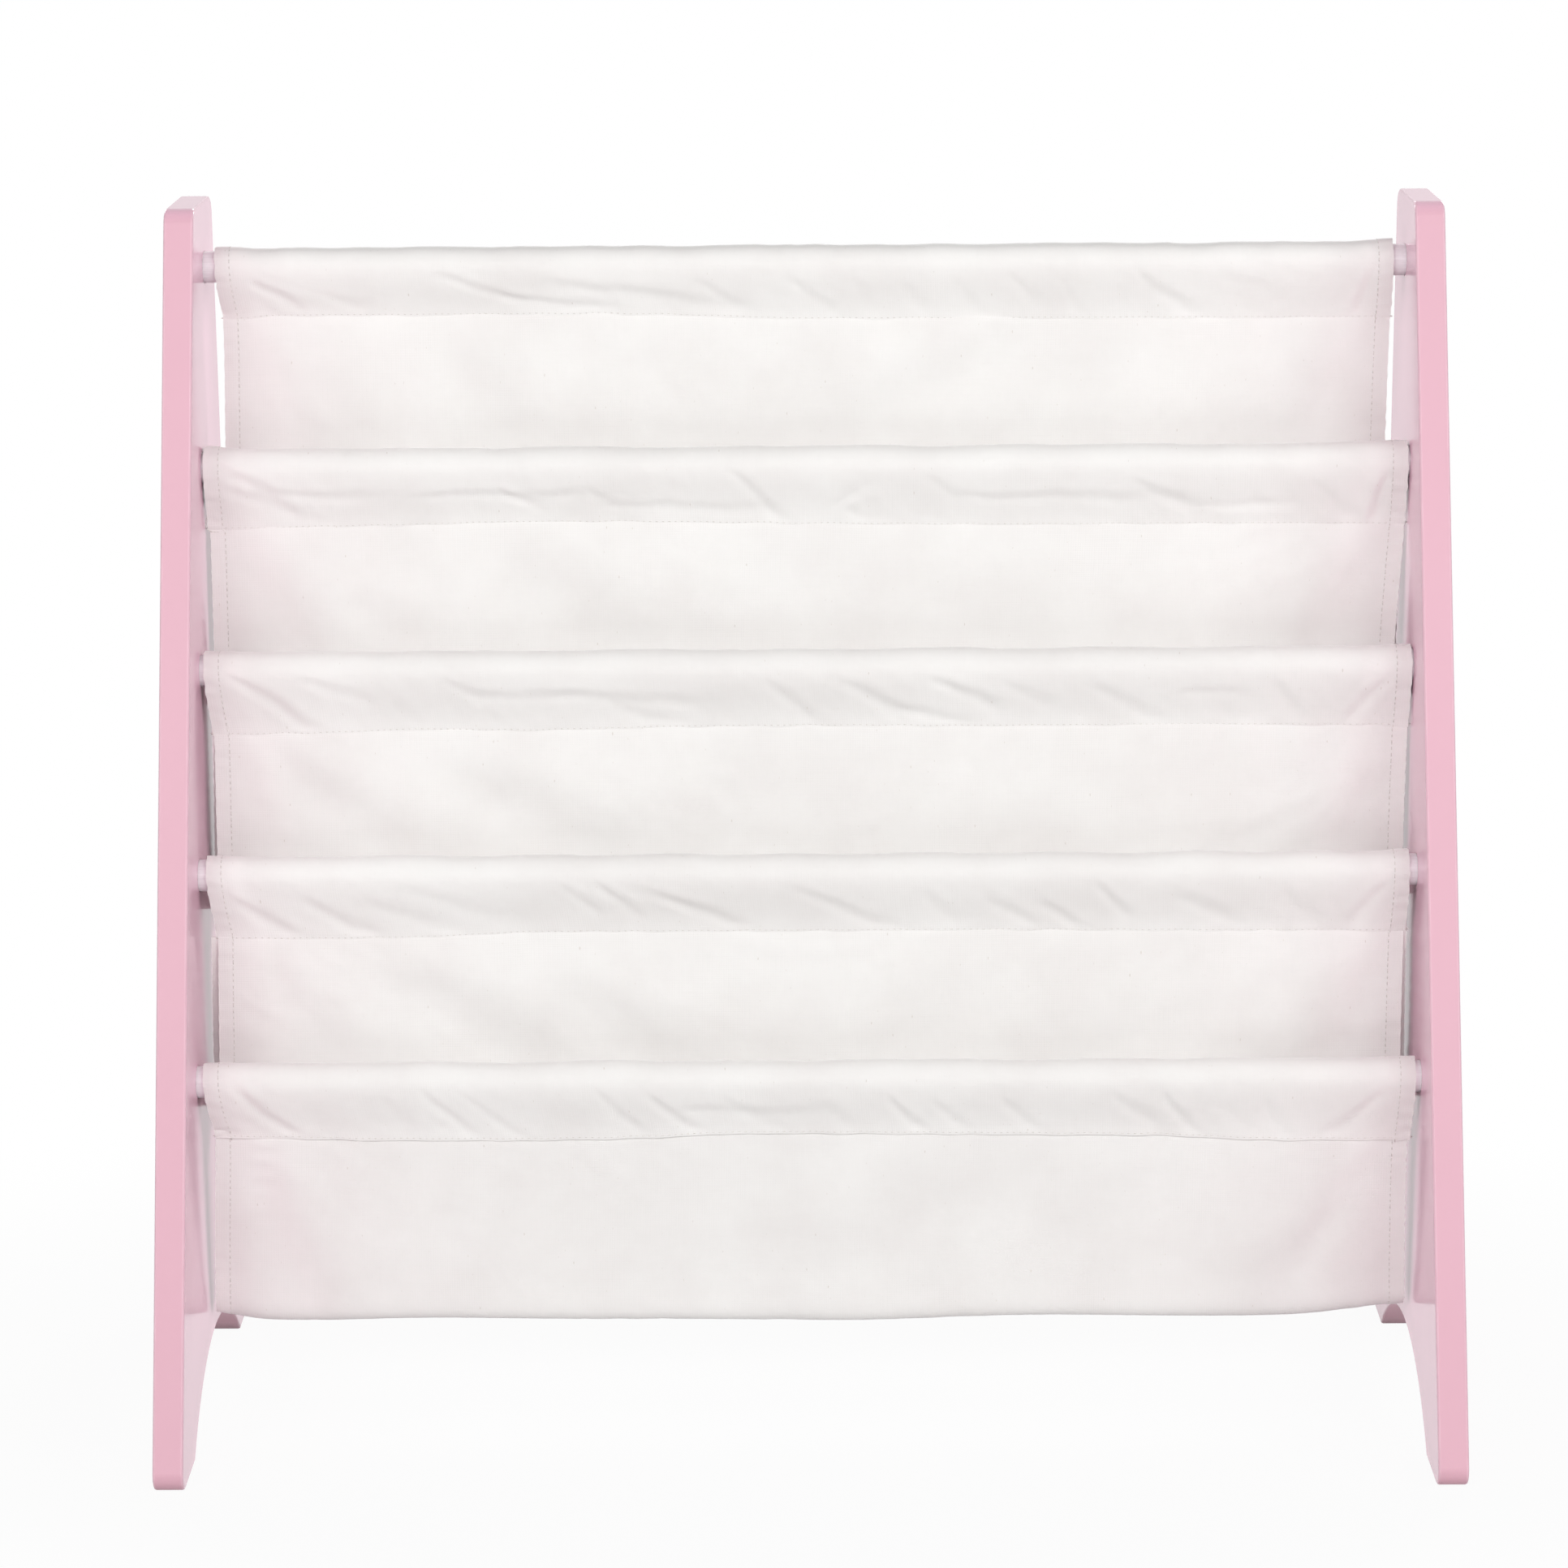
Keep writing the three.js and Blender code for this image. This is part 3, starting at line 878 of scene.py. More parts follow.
@dataclass(frozen=True)
class Settling:
    """Settles a cloth: its threads keep their length, so cloth that is gathered at a seam has to pucker.

    Each round pulls neighbouring points back to their flat distance, smooths the bend, and pushes the
    cloth off what it lies on.
    """

    rounds: int
    bend: float
    shear: float
    home: float

    def settle(self, cloth: Cloth, keep_off: Callable[[np.ndarray], None]) -> None:
        """Moves the cloth's free points until its lengths are right.

        Args:
            cloth: the cloth, whose points are changed.
            keep_off: pushes points off the rod and the panels, in place.
        """
        p = cloth.points
        held = cloth.held_at_seams()
        fixed = p[held].copy()
        weight = np.where(held, 0.0, 1.0)[..., None]
        rest_down = cloth.along
        rest_across = np.repeat(cloth.across[:, None], p.shape[1], axis=1)
        level = (cloth.across[1:] * cloth.across[:-1])[:, None]
        rest_skew = np.sqrt(level + rest_down[:, 1:] * rest_down[:, :-1])
        every, leading, trailing = slice(None), slice(None, -1), slice(1, None)
        for _ in range(self.rounds):
            for start in (0, 1):
                left, right = slice(start, None, 2), slice(start + 1, None, 2)
                self._pull(p, weight, (every, left), (every, right), rest_across, 1.0)
            for start in (0, 1):
                upper, lower = slice(start, None, 2), slice(start + 1, None, 2)
                self._pull(p, weight, (upper, every), (lower, every), rest_down[start::2], 1.0)
                skew = rest_skew[start::2]
                self._pull(p, weight, (upper, leading), (lower, trailing), skew, self.shear)
                self._pull(p, weight, (upper, trailing), (lower, leading), skew, self.shear)
            self._smooth(cloth, weight)
            keep_off(p)
            p[held] = fixed

    def _pull(
        self, p: np.ndarray, weight: np.ndarray, first: tuple, second: tuple, rest: np.ndarray, share: float
    ) -> None:
        """Brings pairs of points to their rest distance.

        Args:
            p: all the points, changed in place.
            weight: 1 for a free point and 0 for a held one.
            first: the index of the first point of each pair.
            second: the index of the second point of each pair.
            rest: the rest distances.
            share: how much of the error goes away in one round.
        """
        a, b = p[first], p[second]
        rows, columns = min(a.shape[0], b.shape[0]), min(a.shape[1], b.shape[1])
        a, b = a[:rows, :columns], b[:rows, :columns]
        free_a, free_b = weight[first][:rows, :columns], weight[second][:rows, :columns]
        gap = b - a
        length = np.sqrt(np.einsum("ijk,ijk->ij", gap, gap))[..., None]
        goal = rest[:rows, :columns, None]
        total = np.maximum(free_a + free_b, 1e-9)
        step = gap * ((length - goal) / np.maximum(length, 1e-9) * share / total)
        a += step * free_a
        b -= step * free_b

    def _smooth(self, cloth: Cloth, weight: np.ndarray) -> None:
        """Takes out bends that are sharper than the canvas allows, and draws it gently home.

        Args:
            cloth: the cloth, whose points are changed.
            weight: 1 for a free point and 0 for a held one.
        """
        off = cloth.points - cloth.base
        change = np.zeros_like(off)
        change[:, 1:-1] += 0.5 * (off[:, 2:] + off[:, :-2]) - off[:, 1:-1]
        change[1:-1] += 0.5 * (off[2:] + off[:-2]) - off[1:-1]
        cloth.points += (self.bend * change - self.home * off) * weight


def outward(points: np.ndarray) -> np.ndarray:
    """Gives the unit normal at each point of a grid.

    Args:
        points: the grid.

    Returns:
        One unit vector for each point.
    """
    side = np.gradient(points, axis=1)
    down = np.gradient(points, axis=0)
    normal = np.cross(side, down)
    return normal / np.maximum(np.linalg.norm(normal, axis=2, keepdims=True), 1e-12)


def finer(points: np.ndarray, axis: int = 0) -> np.ndarray:
    """Doubles a line or a grid of points along one axis, on smooth curves through them.

    Args:
        points: the points.
        axis: 0 for rows, 1 for columns.

    Returns:
        The finer points.
    """
    p = np.moveaxis(points, axis, 0)
    longer = np.concatenate([2 * p[:1] - p[1:2], p, 2 * p[-1:] - p[-2:-1]])
    middle = (9 * (p[:-1] + p[1:]) - longer[:-3] - longer[3:]) / 16
    out = np.empty((2 * len(p) - 1,) + p.shape[1:])
    out[0::2], out[1::2] = p, middle
    return np.moveaxis(out, 0, axis)


def way_along(line: np.ndarray) -> np.ndarray:
    """Measures the way along a line of points, from 0 at its start."""
    return np.concatenate([[0.0], np.cumsum(np.linalg.norm(np.diff(line, axis=0), axis=1))])


def resampled(line: np.ndarray, count: int) -> np.ndarray:
    """Spaces points evenly along a line.

    Args:
        line: the line's points.
        count: how many spaces to make.

    Returns:
        The new points, one more than the spaces.
    """
    run = way_along(line)
    at = np.linspace(0.0, run[-1], count + 1)
    return np.stack([np.interp(at, run, line[:, k]) for k in range(line.shape[1])], axis=1)


def tangent_angle(point: np.ndarray, centre: np.ndarray, radius: float, side: int) -> float:
    """Finds where a straight wall meets a round one.

    Args:
        point: the wall's free end.
        centre: the middle of the round part.
        radius: its radius.
        side: +1 or -1, for the side on which the wall passes.

    Returns:
        The angle of the meeting point round the centre.
    """
    away = point - centre
    return math.atan2(away[1], away[0]) + side * math.acos(radius / float(np.hypot(*away)))


@dataclass(frozen=True)
class Ripples:
    """A smooth random surface, made of a few long waves that lean one way, in radians."""

    count: int
    wave_mm: tuple[float, float]
    lean: float = 0.0
    spread: float = 0.0

    def heights(self, seed: int, x: np.ndarray, s: np.ndarray) -> np.ndarray:
        """Gives the height at places on the flat cloth, mostly between -1 and 1.

        Args:
            seed: the seed of its waves.
            x: places along the shelf.
            s: places from seam to seam.

        Returns:
            The heights.
        """
        chance = np.random.default_rng(seed)
        total = np.zeros(np.broadcast(x, s).shape)
        for _ in range(self.count):
            angle = self.lean + chance.normal(0, self.spread)
            number = 2 * math.pi / (chance.uniform(*self.wave_mm) * MM)
            phase = chance.uniform(0, 2 * math.pi)
            total += np.sin(number * (math.cos(angle) * x + math.sin(angle) * s) + phase)
        return total / math.sqrt(self.count)


SEAM_SHAKE = Ripples(5, (18.0, 40.0))
CASING_PUFF = Ripples(9, (24.0, 160.0))
CASING_WAVES = Ripples(16, (16.0, 46.0), 0.72, 0.4)
WALL_WAVES = Ripples(10, (80.0, 240.0), 0.5, 0.7)
BOTTOM_SWAY = Ripples(4, (150.0, 340.0))
LEANING_CRINKLE = Ripples(26, (7.0, 22.0), 0.8, 0.35)
LOOSE_CRINKLE = Ripples(20, (6.0, 18.0), 0.0, 1.5)
CRINKLE_PATCHES = Ripples(8, (60.0, 160.0), 0.8, 1.2)
HEM_PUCKERS = Ripples(12, (4.5, 11.0), math.pi / 2, 0.25)


@dataclass
class SlingSizes:
    """The sling's sizes, in metres, from the flat cut and from the photograph."""

    cut_width: float = 606 * MM
    thickness: float = 0.7 * MM
    hem_width: float = 8 * MM
    hem_rise: float = 0.55 * MM
    hem_step: float = 1.2 * MM
    hem_stitch: float = 0.9 * MM
    seam_stitch: float = 1.3 * MM
    casing_radius: float = 8.7 * MM
    rod_radius: float = 8.0 * MM
    seam_drop: float = 29 * MM
    seam_half: float = 0.62 * MM
    wall_start: float = 1.6 * MM
    wall_half: float = 0.55 * MM
    front_half: float = 0.2 * MM
    fold_radius: float = 9 * MM
    fold_drop: float = 123.6 * MM
    casing_columns: int = 200
    casing_rows: int = 30
    pocket_columns: int = 160
    pocket_rows: int = 66

    def flat_places(self, columns: int) -> np.ndarray:
        """Spaces columns evenly over the width of the cut."""
        return np.linspace(-self.cut_width / 2, self.cut_width / 2, columns + 1)


@dataclass
class Seam:
    """The stitched line under one rod, where the casing is gathered and the pocket walls hang.

    takes is how much cloth a crease takes up for each millimetre of its depth, slack how much more
    cloth there is, and drift how far to the right the casing's front was sewn on. shake_up and
    shake_out are how far the seam strays between its stitches, and rounding is how far its bends
    reach.
    """

    number: int
    rod: RodPlace
    sizes: SlingSizes
    ends: Ends
    creases: tuple[Crease, ...]
    takes: float = 0.3 * MM
    slack: float = 0.1 * MM
    drift: float = 0.5 * MM
    sewn_in_mm: float = 10.0
    tuck: float = 6 * MM
    shake_up: float = 0.15 * MM
    shake_out: float = 0.2 * MM
    rounding: float = 14.0
    seed: int = 60

    def gathers(self) -> list[Crease]:
        """Lists the creases that reach down to the seam and are sewn into it."""
        return [crease for crease in self.creases if crease.s1 < self.sewn_in_mm]

    def flat_width(self) -> float:
        """Gives the width of the casing's cloth before it is gathered."""
        taken = sum(self.takes * crease.deep for crease in self.gathers())
        return self.ends.seam_right - self.ends.seam_left + taken + self.slack

    def line(self, x: np.ndarray, gathered: bool = True) -> np.ndarray:
        """Follows the seam.

        Args:
            x: places along the flat cut, from the left edge to the right one.
            gathered: true for the casing, whose cloth is taken up here and there along the seam.

        Returns:
            The seam's points, one for each place.
        """
        share = (x - x[0]) / (x[-1] - x[0])
        place = self.ends.seam_left + share * (self.ends.seam_right - self.ends.seam_left)
        if gathered:
            step = np.zeros_like(x)
            for crease in self.gathers():
                step += self.takes * crease.deep * smooth_step((x - crease.x1 * MM) / self.tuck + 0.5)
            place = place + step[-1] * share - step
            # The drift makes the puckers lean. It fades at both ends.
            place = place + self.drift * (1 - (2 * share - 1) ** 6)
        seed = self.seed + self.number
        up = self.shake_up * SEAM_SHAKE.heights(seed, x, x * 0)
        z = self.rod.z - self.sizes.seam_drop + self._wander(x) + up
        y = self.rod.y + self.shake_out * SEAM_SHAKE.heights(seed, x + 1.0, x * 0)
        return np.stack([place, y, z], axis=1)

    def _wander(self, x: np.ndarray) -> np.ndarray:
        """Gives how far the seam runs above its level, with its corners rounded off.

        Args:
            x: places along the flat cut.

        Returns:
            The height at each place.
        """
        places, heights = (np.array(column) * MM for column in zip(*SEAM_LINES[self.number - 1]))
        near = np.linspace(-self.rounding, self.rounding, 9) * MM
        return np.mean([np.interp(x + step, places, heights) for step in near], axis=0)


# ---- The sling


@dataclass
class Sling:
    """The canvas sling: five casings round the rods and four pockets that hang between them.

    started is the share of a casing's creases that is there before the cloth settles, and pressed
    the share that is pressed in afterwards. loose and folded are the same for a pocket's walls. The
    reaches say how far from a seam, a hem or an edge something fades, and the seeds where the seeds
    of each kind of waves start.
    """

    canvas: bpy.types.Material
    thread: bpy.types.Material
    inner_left: float
    inner_right: float
    rods: list[RodPlace]
    sizes: SlingSizes = field(default_factory=SlingSizes)
    # Between cloth and panels, and between cloth and rods before and after its creases are pressed in.
    room: float = 0.9 * MM
    rod_room: float = 0.1 * MM
    pressed_room: float = 0.05 * MM
    # How a casing stands off its rod, in millimetres.
    puff_rise: float = 0.45
    puff_wave: float = 0.45
    hem_puff: float = 0.9
    hem_puff_reach: float = 14 * MM
    # How a casing is drawn to its seam and creased.
    casing_reach: float = 27 * MM
    gathered_reach: float = 30 * MM
    wave_reach: float = 36 * MM
    wave_height: float = 0.08 * MM
    crease_reach: float = 4 * MM
    back_shift: float = 11 * MM
    started: float = 0.7
    pressed: float = 0.5
    pressed_start: float = 1.2 * MM
    pressed_reach: float = 3 * MM
    # How a pocket hangs and folds.
    pocket_reach: float = 50 * MM
    pocket_ease: float = 0.0015
    edge_blend_rows: int = 8
    wall_reach: float = 40 * MM
    wall_height: float = 0.35 * MM
    wall_slope: float = 0.13
    bottom_reach: float = 30 * MM
    sway: float = 1.1 * MM
    kink_height: float = 1.6 * MM
    kink_x: float = -13 * MM
    kink_width: float = 9 * MM
    loose: float = 0.3
    folded: float = 0.3
    # The cloth's own unevenness.
    crinkled: float = 0.075 * MM
    crinkle_reach: float = 5 * MM
    crinkle_fan: float = 40 * MM
    pucker_height: float = 0.2 * MM
    pucker_out: float = 0.16 * MM
    pucker_reach: float = 5 * MM
    groove_deep: float = 0.4 * MM
    groove_width: float = 0.9 * MM
    seam_thin: float = 0.4
    thin_reach: float = 2.5 * MM
    stitch_lift: float = 0.05 * MM
    seam_stitch_lift: float = 0.14
    puff_seed: int = 80
    casing_seed: int = 200
    wall_seed: int = 300
    pocket_seed: int = 400
    sway_seed: int = 500
    gathering: Settling = Settling(rounds=500, bend=0.03, shear=0.12, home=0.001)
    hanging: Settling = Settling(rounds=150, bend=0.02, shear=0.3, home=0.0)
    hem_lines: list[np.ndarray] = field(default_factory=list)
    seam_lines: list[np.ndarray] = field(default_factory=list)

    def build(self) -> None:
        """Makes the casings, the pockets and the sewing."""
        numbered = enumerate(zip(self.rods, CASING_ENDS, CASING_CREASES), start=1)
        seams = [Seam(number, rod, self.sizes, ends, listed) for number, (rod, ends, listed) in numbered]
        for seam in seams:
            self._casing(seam)
        for rear, front in zip(seams[:-1], seams[1:]):
            self._pocket(rear, front)
        stitching = Stitching(self.thread)
        stitching.build(self.hem_lines, self.seam_lines)
        second = seams[1].rod
        stitching.tail("thread_tail", Vector((self.inner_left, second.y, second.z - self.sizes.seam_drop)))

    def _casing_profile(self, rod: RodPlace) -> np.ndarray:
        """Draws a casing seen from its end: up the front, over the rod and down the back.

        Args:
            rod: the rod inside it.

        Returns:
            The profile's points as y and z.
        """
        s = self.sizes
        over = np.linspace(math.pi, 0.0, 40)
        arc = s.casing_radius * np.stack([np.cos(over), np.sin(over)], axis=1)
        # Each side draws in below the rod, and comes down plumb to the seam.
        share = np.linspace(0.0, 1.0, 25)[:-1]
        out = s.seam_half + (s.casing_radius - s.seam_half) * (0.25 * share + 0.75 * smooth_step(share))
        side = np.stack([out, s.seam_drop * (share - 1)], axis=1)
        line = np.concatenate([side * [-1, 1], arc, side[::-1]])
        return line + [rod.y, rod.z]

    def _pocket_profile(self, rear: RodPlace, front: RodPlace) -> np.ndarray:
        """Draws a pocket seen from its end: down the back wall, round the fold and up the front wall.

        Args:
            rear: the rod that carries the back wall.
            front: the rod that carries the front wall.

        Returns:
            The profile's points as y and z.
        """
        s = self.sizes
        start = np.array([rear.y - s.wall_half, rear.z - s.seam_drop + s.wall_start])
        end = np.array([front.y + s.front_half, front.z - s.seam_drop + s.wall_start])
        centre = np.array([(rear.y + front.y) / 2, front.z - s.fold_drop])
        down = tangent_angle(start, centre, s.fold_radius, -1)
        up = tangent_angle(end, centre, s.fold_radius, 1)
        while up > down:
            up -= 2 * math.pi
        turn = np.linspace(down, up, 30)
        arc = centre + s.fold_radius * np.stack([np.cos(turn), np.sin(turn)], axis=1)
        return np.concatenate([[start], arc, [end]])

    def _casing(self, seam: Seam) -> None:
        """Makes one casing.

        Args:
            seam: the seam that closes it.
        """
        s, rod, ends = self.sizes, seam.rod, seam.ends
        profile = resampled(self._casing_profile(rod), s.casing_rows)
        run = way_along(profile)
        flat_x = s.flat_places(s.casing_columns)
        base = np.empty((s.casing_rows + 1, s.casing_columns + 1, 3))
        share = (flat_x + s.cut_width / 2) / s.cut_width
        base[..., 0] = ends.rod_left + share * (ends.rod_right - ends.rod_left)
        base[..., 1:] = profile[:, None]
        # It stands a little off the rod, and not evenly: most where the hems stiffen it.
        puff = CASING_PUFF.heights(self.puff_seed + seam.number, flat_x, flat_x * 0)
        high = smooth_step((profile[:, 1] - rod.z) / s.casing_radius)
        from_end = s.cut_width / 2 - np.abs(flat_x)
        stiff = self.hem_puff * smooth_step(1 - (from_end - s.hem_width) / self.hem_puff_reach)
        base[..., 2] += high[:, None] * MM * (self.puff_rise + self.puff_wave * puff + stiff)
        # The cloth lies smooth over the rod. Its whole width has to find room lower down.
        near = smooth_step(1 - np.minimum(run, run[-1] - run) / self.gathered_reach)
        width = (ends.rod_right - ends.rod_left) * (1 - near) + seam.flat_width() * near
        cloth = Cloth(base, flat_x, run, width / s.casing_columns)
        self._draw_to_seam(cloth, seam)
        cloth.along = np.linalg.norm(np.diff(cloth.points[..., 1:], axis=0), axis=2)
        self._crease_casing(cloth, seam)
        self.gathering.settle(cloth, partial(self._off_rod, rod))
        name, seed = f"casing_{seam.number}", self.casing_seed + seam.number
        sunken = partial(self._pressed_casing, seam)
        self._sheet(name, cloth, seed, "gathered", sunken, rod)
        self._mark_seam(cloth)

    def _draw_to_seam(self, cloth: Cloth, seam: Seam) -> None:
        """Moves a casing's two edges to the seam, and the cloth above them part of the way.

        Args:
            cloth: the casing's cloth.
            seam: its seam.
        """
        x, run = cloth.flat_x, cloth.run
        level = np.array([0.0, seam.rod.y, seam.rod.z - self.sizes.seam_drop])
        front, back = seam.line(x) - level, seam.line(x, gathered=False) - level
        front[:, 0] -= cloth.base[0, :, 0]
        back[:, 0] -= cloth.base[0, :, 0]
        # The back layer is sewn on a little further out at its ends, so a small lip shows at the corners.
        back[:, 0] += seam.ends.lip * (x / x[-1]) ** 15
        near_front = smooth_step(1 - run / self.casing_reach)[:, None, None]
        near_back = smooth_step(1 - (run[-1] - run) / self.casing_reach)[:, None, None]
        cloth.points += near_front * front + near_back * back

    def _crease_casing(self, cloth: Cloth, seam: Seam) -> None:
        """Starts the creases of a casing, with small waves that lean the same way.

        Args:
            cloth: the casing's cloth.
            seam: its seam and its creases.
        """
        normal = outward(cloth.base)
        x, s = np.meshgrid(cloth.flat_x, cloth.run)
        for back in (False, True):
            up = cloth.run[-1] - s if back else s
            # The back's creases are those of the front, moved along.
            rise = -sunk(seam.creases, x + (self.back_shift if back else 0.0), up)
            rise = self.started * rise * smooth_step(up / self.crease_reach)
            near = smooth_step(1 - up / self.wave_reach)
            rise = rise + self.wave_height * near * CASING_WAVES.heights(seam.number * 7 + back, x, up)
            half = (up < cloth.run[-1] / 2)[..., None]
            cloth.points += normal * rise[..., None] * half

    def _off_rod(self, rod: RodPlace, p: np.ndarray) -> None:
        """Pushes cloth off the rod and the panels.

        Args:
            rod: the rod.
            p: the cloth's points, changed in place.
        """
        self._push_out(p, rod, self.sizes.rod_radius + self.sizes.thickness / 2 + self.rod_room)
        self._off_panels(p)

    def _push_out(self, p: np.ndarray, rod: RodPlace, least: np.ndarray | float) -> None:
        """Pushes points away from a rod's axis.

        Args:
            p: the points, changed in place.
            rod: the rod.
            least: how far from its axis they have to be.
        """
        away = p[..., 1:] - [rod.y, rod.z]
        far = np.linalg.norm(away, axis=2)
        short = np.clip(least - far, 0.0, None) / np.maximum(far, 1e-6)
        p[..., 1:] += away * short[..., None]

    def _off_panels(self, p: np.ndarray) -> None:
        """Keeps cloth between the panels."""
        np.clip(p[..., 0], self.inner_left + self.room, self.inner_right - self.room, out=p[..., 0])

    def _pocket(self, rear: Seam, front: Seam) -> None:
        """Makes one pocket.

        Args:
            rear: the seam that carries the back wall.
            front: the seam that carries the front wall.
        """
        s, number = self.sizes, rear.number
        profile = resampled(self._pocket_profile(rear.rod, front.rod), s.pocket_rows)
        run = way_along(profile)
        flat_x = s.flat_places(s.pocket_columns)
        left, right = self._pocket_edges(number, profile)
        base = np.empty((s.pocket_rows + 1, s.pocket_columns + 1, 3))
        base[..., 0] = left[:, None] + (right - left)[:, None] * (flat_x / s.cut_width + 0.5)
        base[..., 1:] = profile[:, None]
        base[..., 2] += self._lift(flat_x, profile, number)
        cloth = Cloth(base, flat_x, run, (right - left) / s.pocket_columns * (1 + self.pocket_ease))
        for row, seam, step in ((0, rear, -s.wall_half), (-1, front, s.front_half)):
            line = seam.line(flat_x, gathered=False)
            line[:, 0] = base[row, :, 0]
            line[:, 1] += step
            line[:, 2] += s.wall_start
            far = run if row == 0 else run[-1] - run
            cloth.points += smooth_step(1 - far / self.pocket_reach)[:, None, None] * (line - base[row])
        cloth.base = cloth.points.copy()
        cloth.along = np.linalg.norm(np.diff(cloth.base, axis=0), axis=2)
        self._fold_walls(cloth, number)
        self.hanging.settle(cloth, self._off_panels)
        sunken = partial(self._sunk_walls, number)
        self._sheet(f"pocket_{number}", cloth, self.pocket_seed + number, "hung", sunken)

    def _pocket_edges(self, number: int, profile: np.ndarray) -> np.ndarray:
        """Lays out a pocket's two side edges.

        Args:
            number: the pocket's number.
            profile: its profile.

        Returns:
            The left and the right edge's place for each row.
        """
        front = SHOWN_EDGES if number == LOWEST_POCKET else HIDDEN_EDGES
        run = way_along(profile)
        bottom = int(np.argmin(profile[:, 1]))
        blend = smooth_step((np.arange(len(profile)) - bottom) / self.edge_blend_rows + 0.5)
        return BACK_EDGES[number - 1].at(run) * (1 - blend) + front.at(run[-1] - run) * blend

    def _fold_walls(self, cloth: Cloth, number: int) -> None:
        """Lays the broad soft folds in a pocket's walls.

        Args:
            cloth: the pocket's cloth.
            number: the pocket's number.
        """
        x = cloth.base[..., 0]
        down = np.broadcast_to(cloth.run[:, None], x.shape)
        up = cloth.run[-1] - down
        free = smooth_step(down / self.wall_reach) * smooth_step(up / self.wall_reach)
        rise = self.wall_height * free * WALL_WAVES.heights(self.wall_seed + number, x, down)
        rise = rise - self.loose * self._sunk_walls(number, x, down, up)
        cloth.points += outward(cloth.base) * rise[..., None]

    def _sunk_walls(self, number: int, x: np.ndarray, down: np.ndarray, up: np.ndarray) -> np.ndarray:
        """Gives how far a pocket's walls sink in at their folds, against the way the grid's normals point.

        Args:
            number: the pocket's number.
            x: places along the shelf.
            down: the way from the rear seam.
            up: the way from the front seam.

        Returns:
            The depths, which are negative on the back wall, because its normals point away from the viewer.
        """
        back = sunk(WALL_FOLDS[number - 1], x, down)
        # The hidden front walls have the folds of the one that shows, turned round.
        front = sunk(FRONT_FOLDS, x if number == LOWEST_POCKET else -x, up)
        # The next pocket's front wall hangs close behind the seam, so the folds begin shallow there.
        back = np.minimum(back, self.wall_slope * down)
        return np.where(down < up, -back, front) * smooth_step(np.abs(down - up) / self.bottom_reach)

    def _pressed_casing(self, seam: Seam, x: np.ndarray, down: np.ndarray, up: np.ndarray) -> np.ndarray:
        """Gives how deep the creases are that stay pressed in a casing, front and back alike.

        Args:
            seam: the casing's seam and its creases.
            x: places along the shelf.
            down: the way from one edge.
            up: the way from the other edge.

        Returns:
            The depths.
        """
        edge = np.minimum(down, up)
        return sunk(seam.creases, x, edge) * smooth_step((edge - self.pressed_start) / self.pressed_reach)

    def _lift(self, flat_x: np.ndarray, profile: np.ndarray, number: int) -> np.ndarray:
        """Raises a pocket's bottom corners, where the hems are stiffer, and lets its bottom wave a little.

        Args:
            flat_x: the columns' places on the flat cut.
            profile: the pocket's profile.
            number: the pocket's number.

        Returns:
            How far up each point of the pocket's base shape goes.
        """
        half = self.sizes.cut_width / 2
        rise = np.zeros_like(flat_x)
        for from_end, (high, reach, hollow) in zip((flat_x + half, half - flat_x), CORNER_RISES):
            rise += high * MM * smooth_step(1 - from_end / (reach * MM)) ** hollow
        rise += self.sway * BOTTOM_SWAY.heights(self.sway_seed + number, flat_x, flat_x * 0)
        if number == LOWEST_POCKET:
            # Its bottom edge shows a small kink left of the middle.
            rise += self.kink_height * np.exp(-(((flat_x - self.kink_x) / self.kink_width) ** 2))
        z = profile[:, 1]
        lowest = z.min()
        back_depth = (z[0] - z) / (z[0] - lowest)
        front_depth = np.clip((z[-1] - z) / (z[-1] - lowest), 0, 1)
        behind = np.arange(len(z)) < int(np.argmin(z))
        return np.where(behind, back_depth**2, front_depth)[:, None] * rise

    def _sheet(
        self,
        name: str,
        cloth: Cloth,
        seed: int,
        held: str,
        sunken: Callable[[np.ndarray, np.ndarray, np.ndarray], np.ndarray],
        rod: RodPlace | None = None,
    ) -> None:
        """Gives a settled cloth its hems, fine crinkle and thickness, and puts it in the scene.

        Args:
            name: the name of the CAD node that it stands for.
            cloth: the settled cloth.
            seed: the seed of its unevenness.
            held: how the cloth is held.
            sunken: gives the depth of its creases, by the place along the shelf and the way from each seam.
            rod: the rod inside it, if there is one.
        """
        s = self.sizes
        fine = finer(finer(cloth.points), 1)
        x_fine, run_fine = finer(cloth.flat_x), finer(cloth.run)
        x, along = np.meshgrid(x_fine, run_fine)
        normal = outward(fine)
        edge = np.minimum(along, run_fine[-1] - along)
        from_end = s.cut_width / 2 - np.abs(x)
        hem = 1 - smooth_step((from_end - s.hem_width) / s.hem_step + 0.5)
        sharp = held == "gathered"
        relief = self._crinkle(x, along, edge, seed, sharp)
        relief = relief - (self.pressed if sharp else self.folded) * sunken(x, along, run_fine[-1] - along)
        # The stitches draw the hem into small puckers, and its edge runs a little uneven.
        pucker = HEM_PUCKERS.heights(seed + 75, x, along)
        relief = relief + self.pucker_height * pucker * hem
        fine = fine + normal * relief[..., None]
        side_edge = smooth_step(1 - from_end / self.pucker_reach)
        fine[..., 0] += np.sign(x) * self.pucker_out * pucker * side_edge
        thickness = self._thickness(from_end, edge, hem)
        if rod is not None:
            # No crease is pressed into the rod.
            self._push_out(fine, rod, s.rod_radius + thickness / 2 + self.pressed_room)
        outer = fine + normal * (thickness / 2)[..., None]
        inner = fine - normal * (thickness / 2)[..., None]
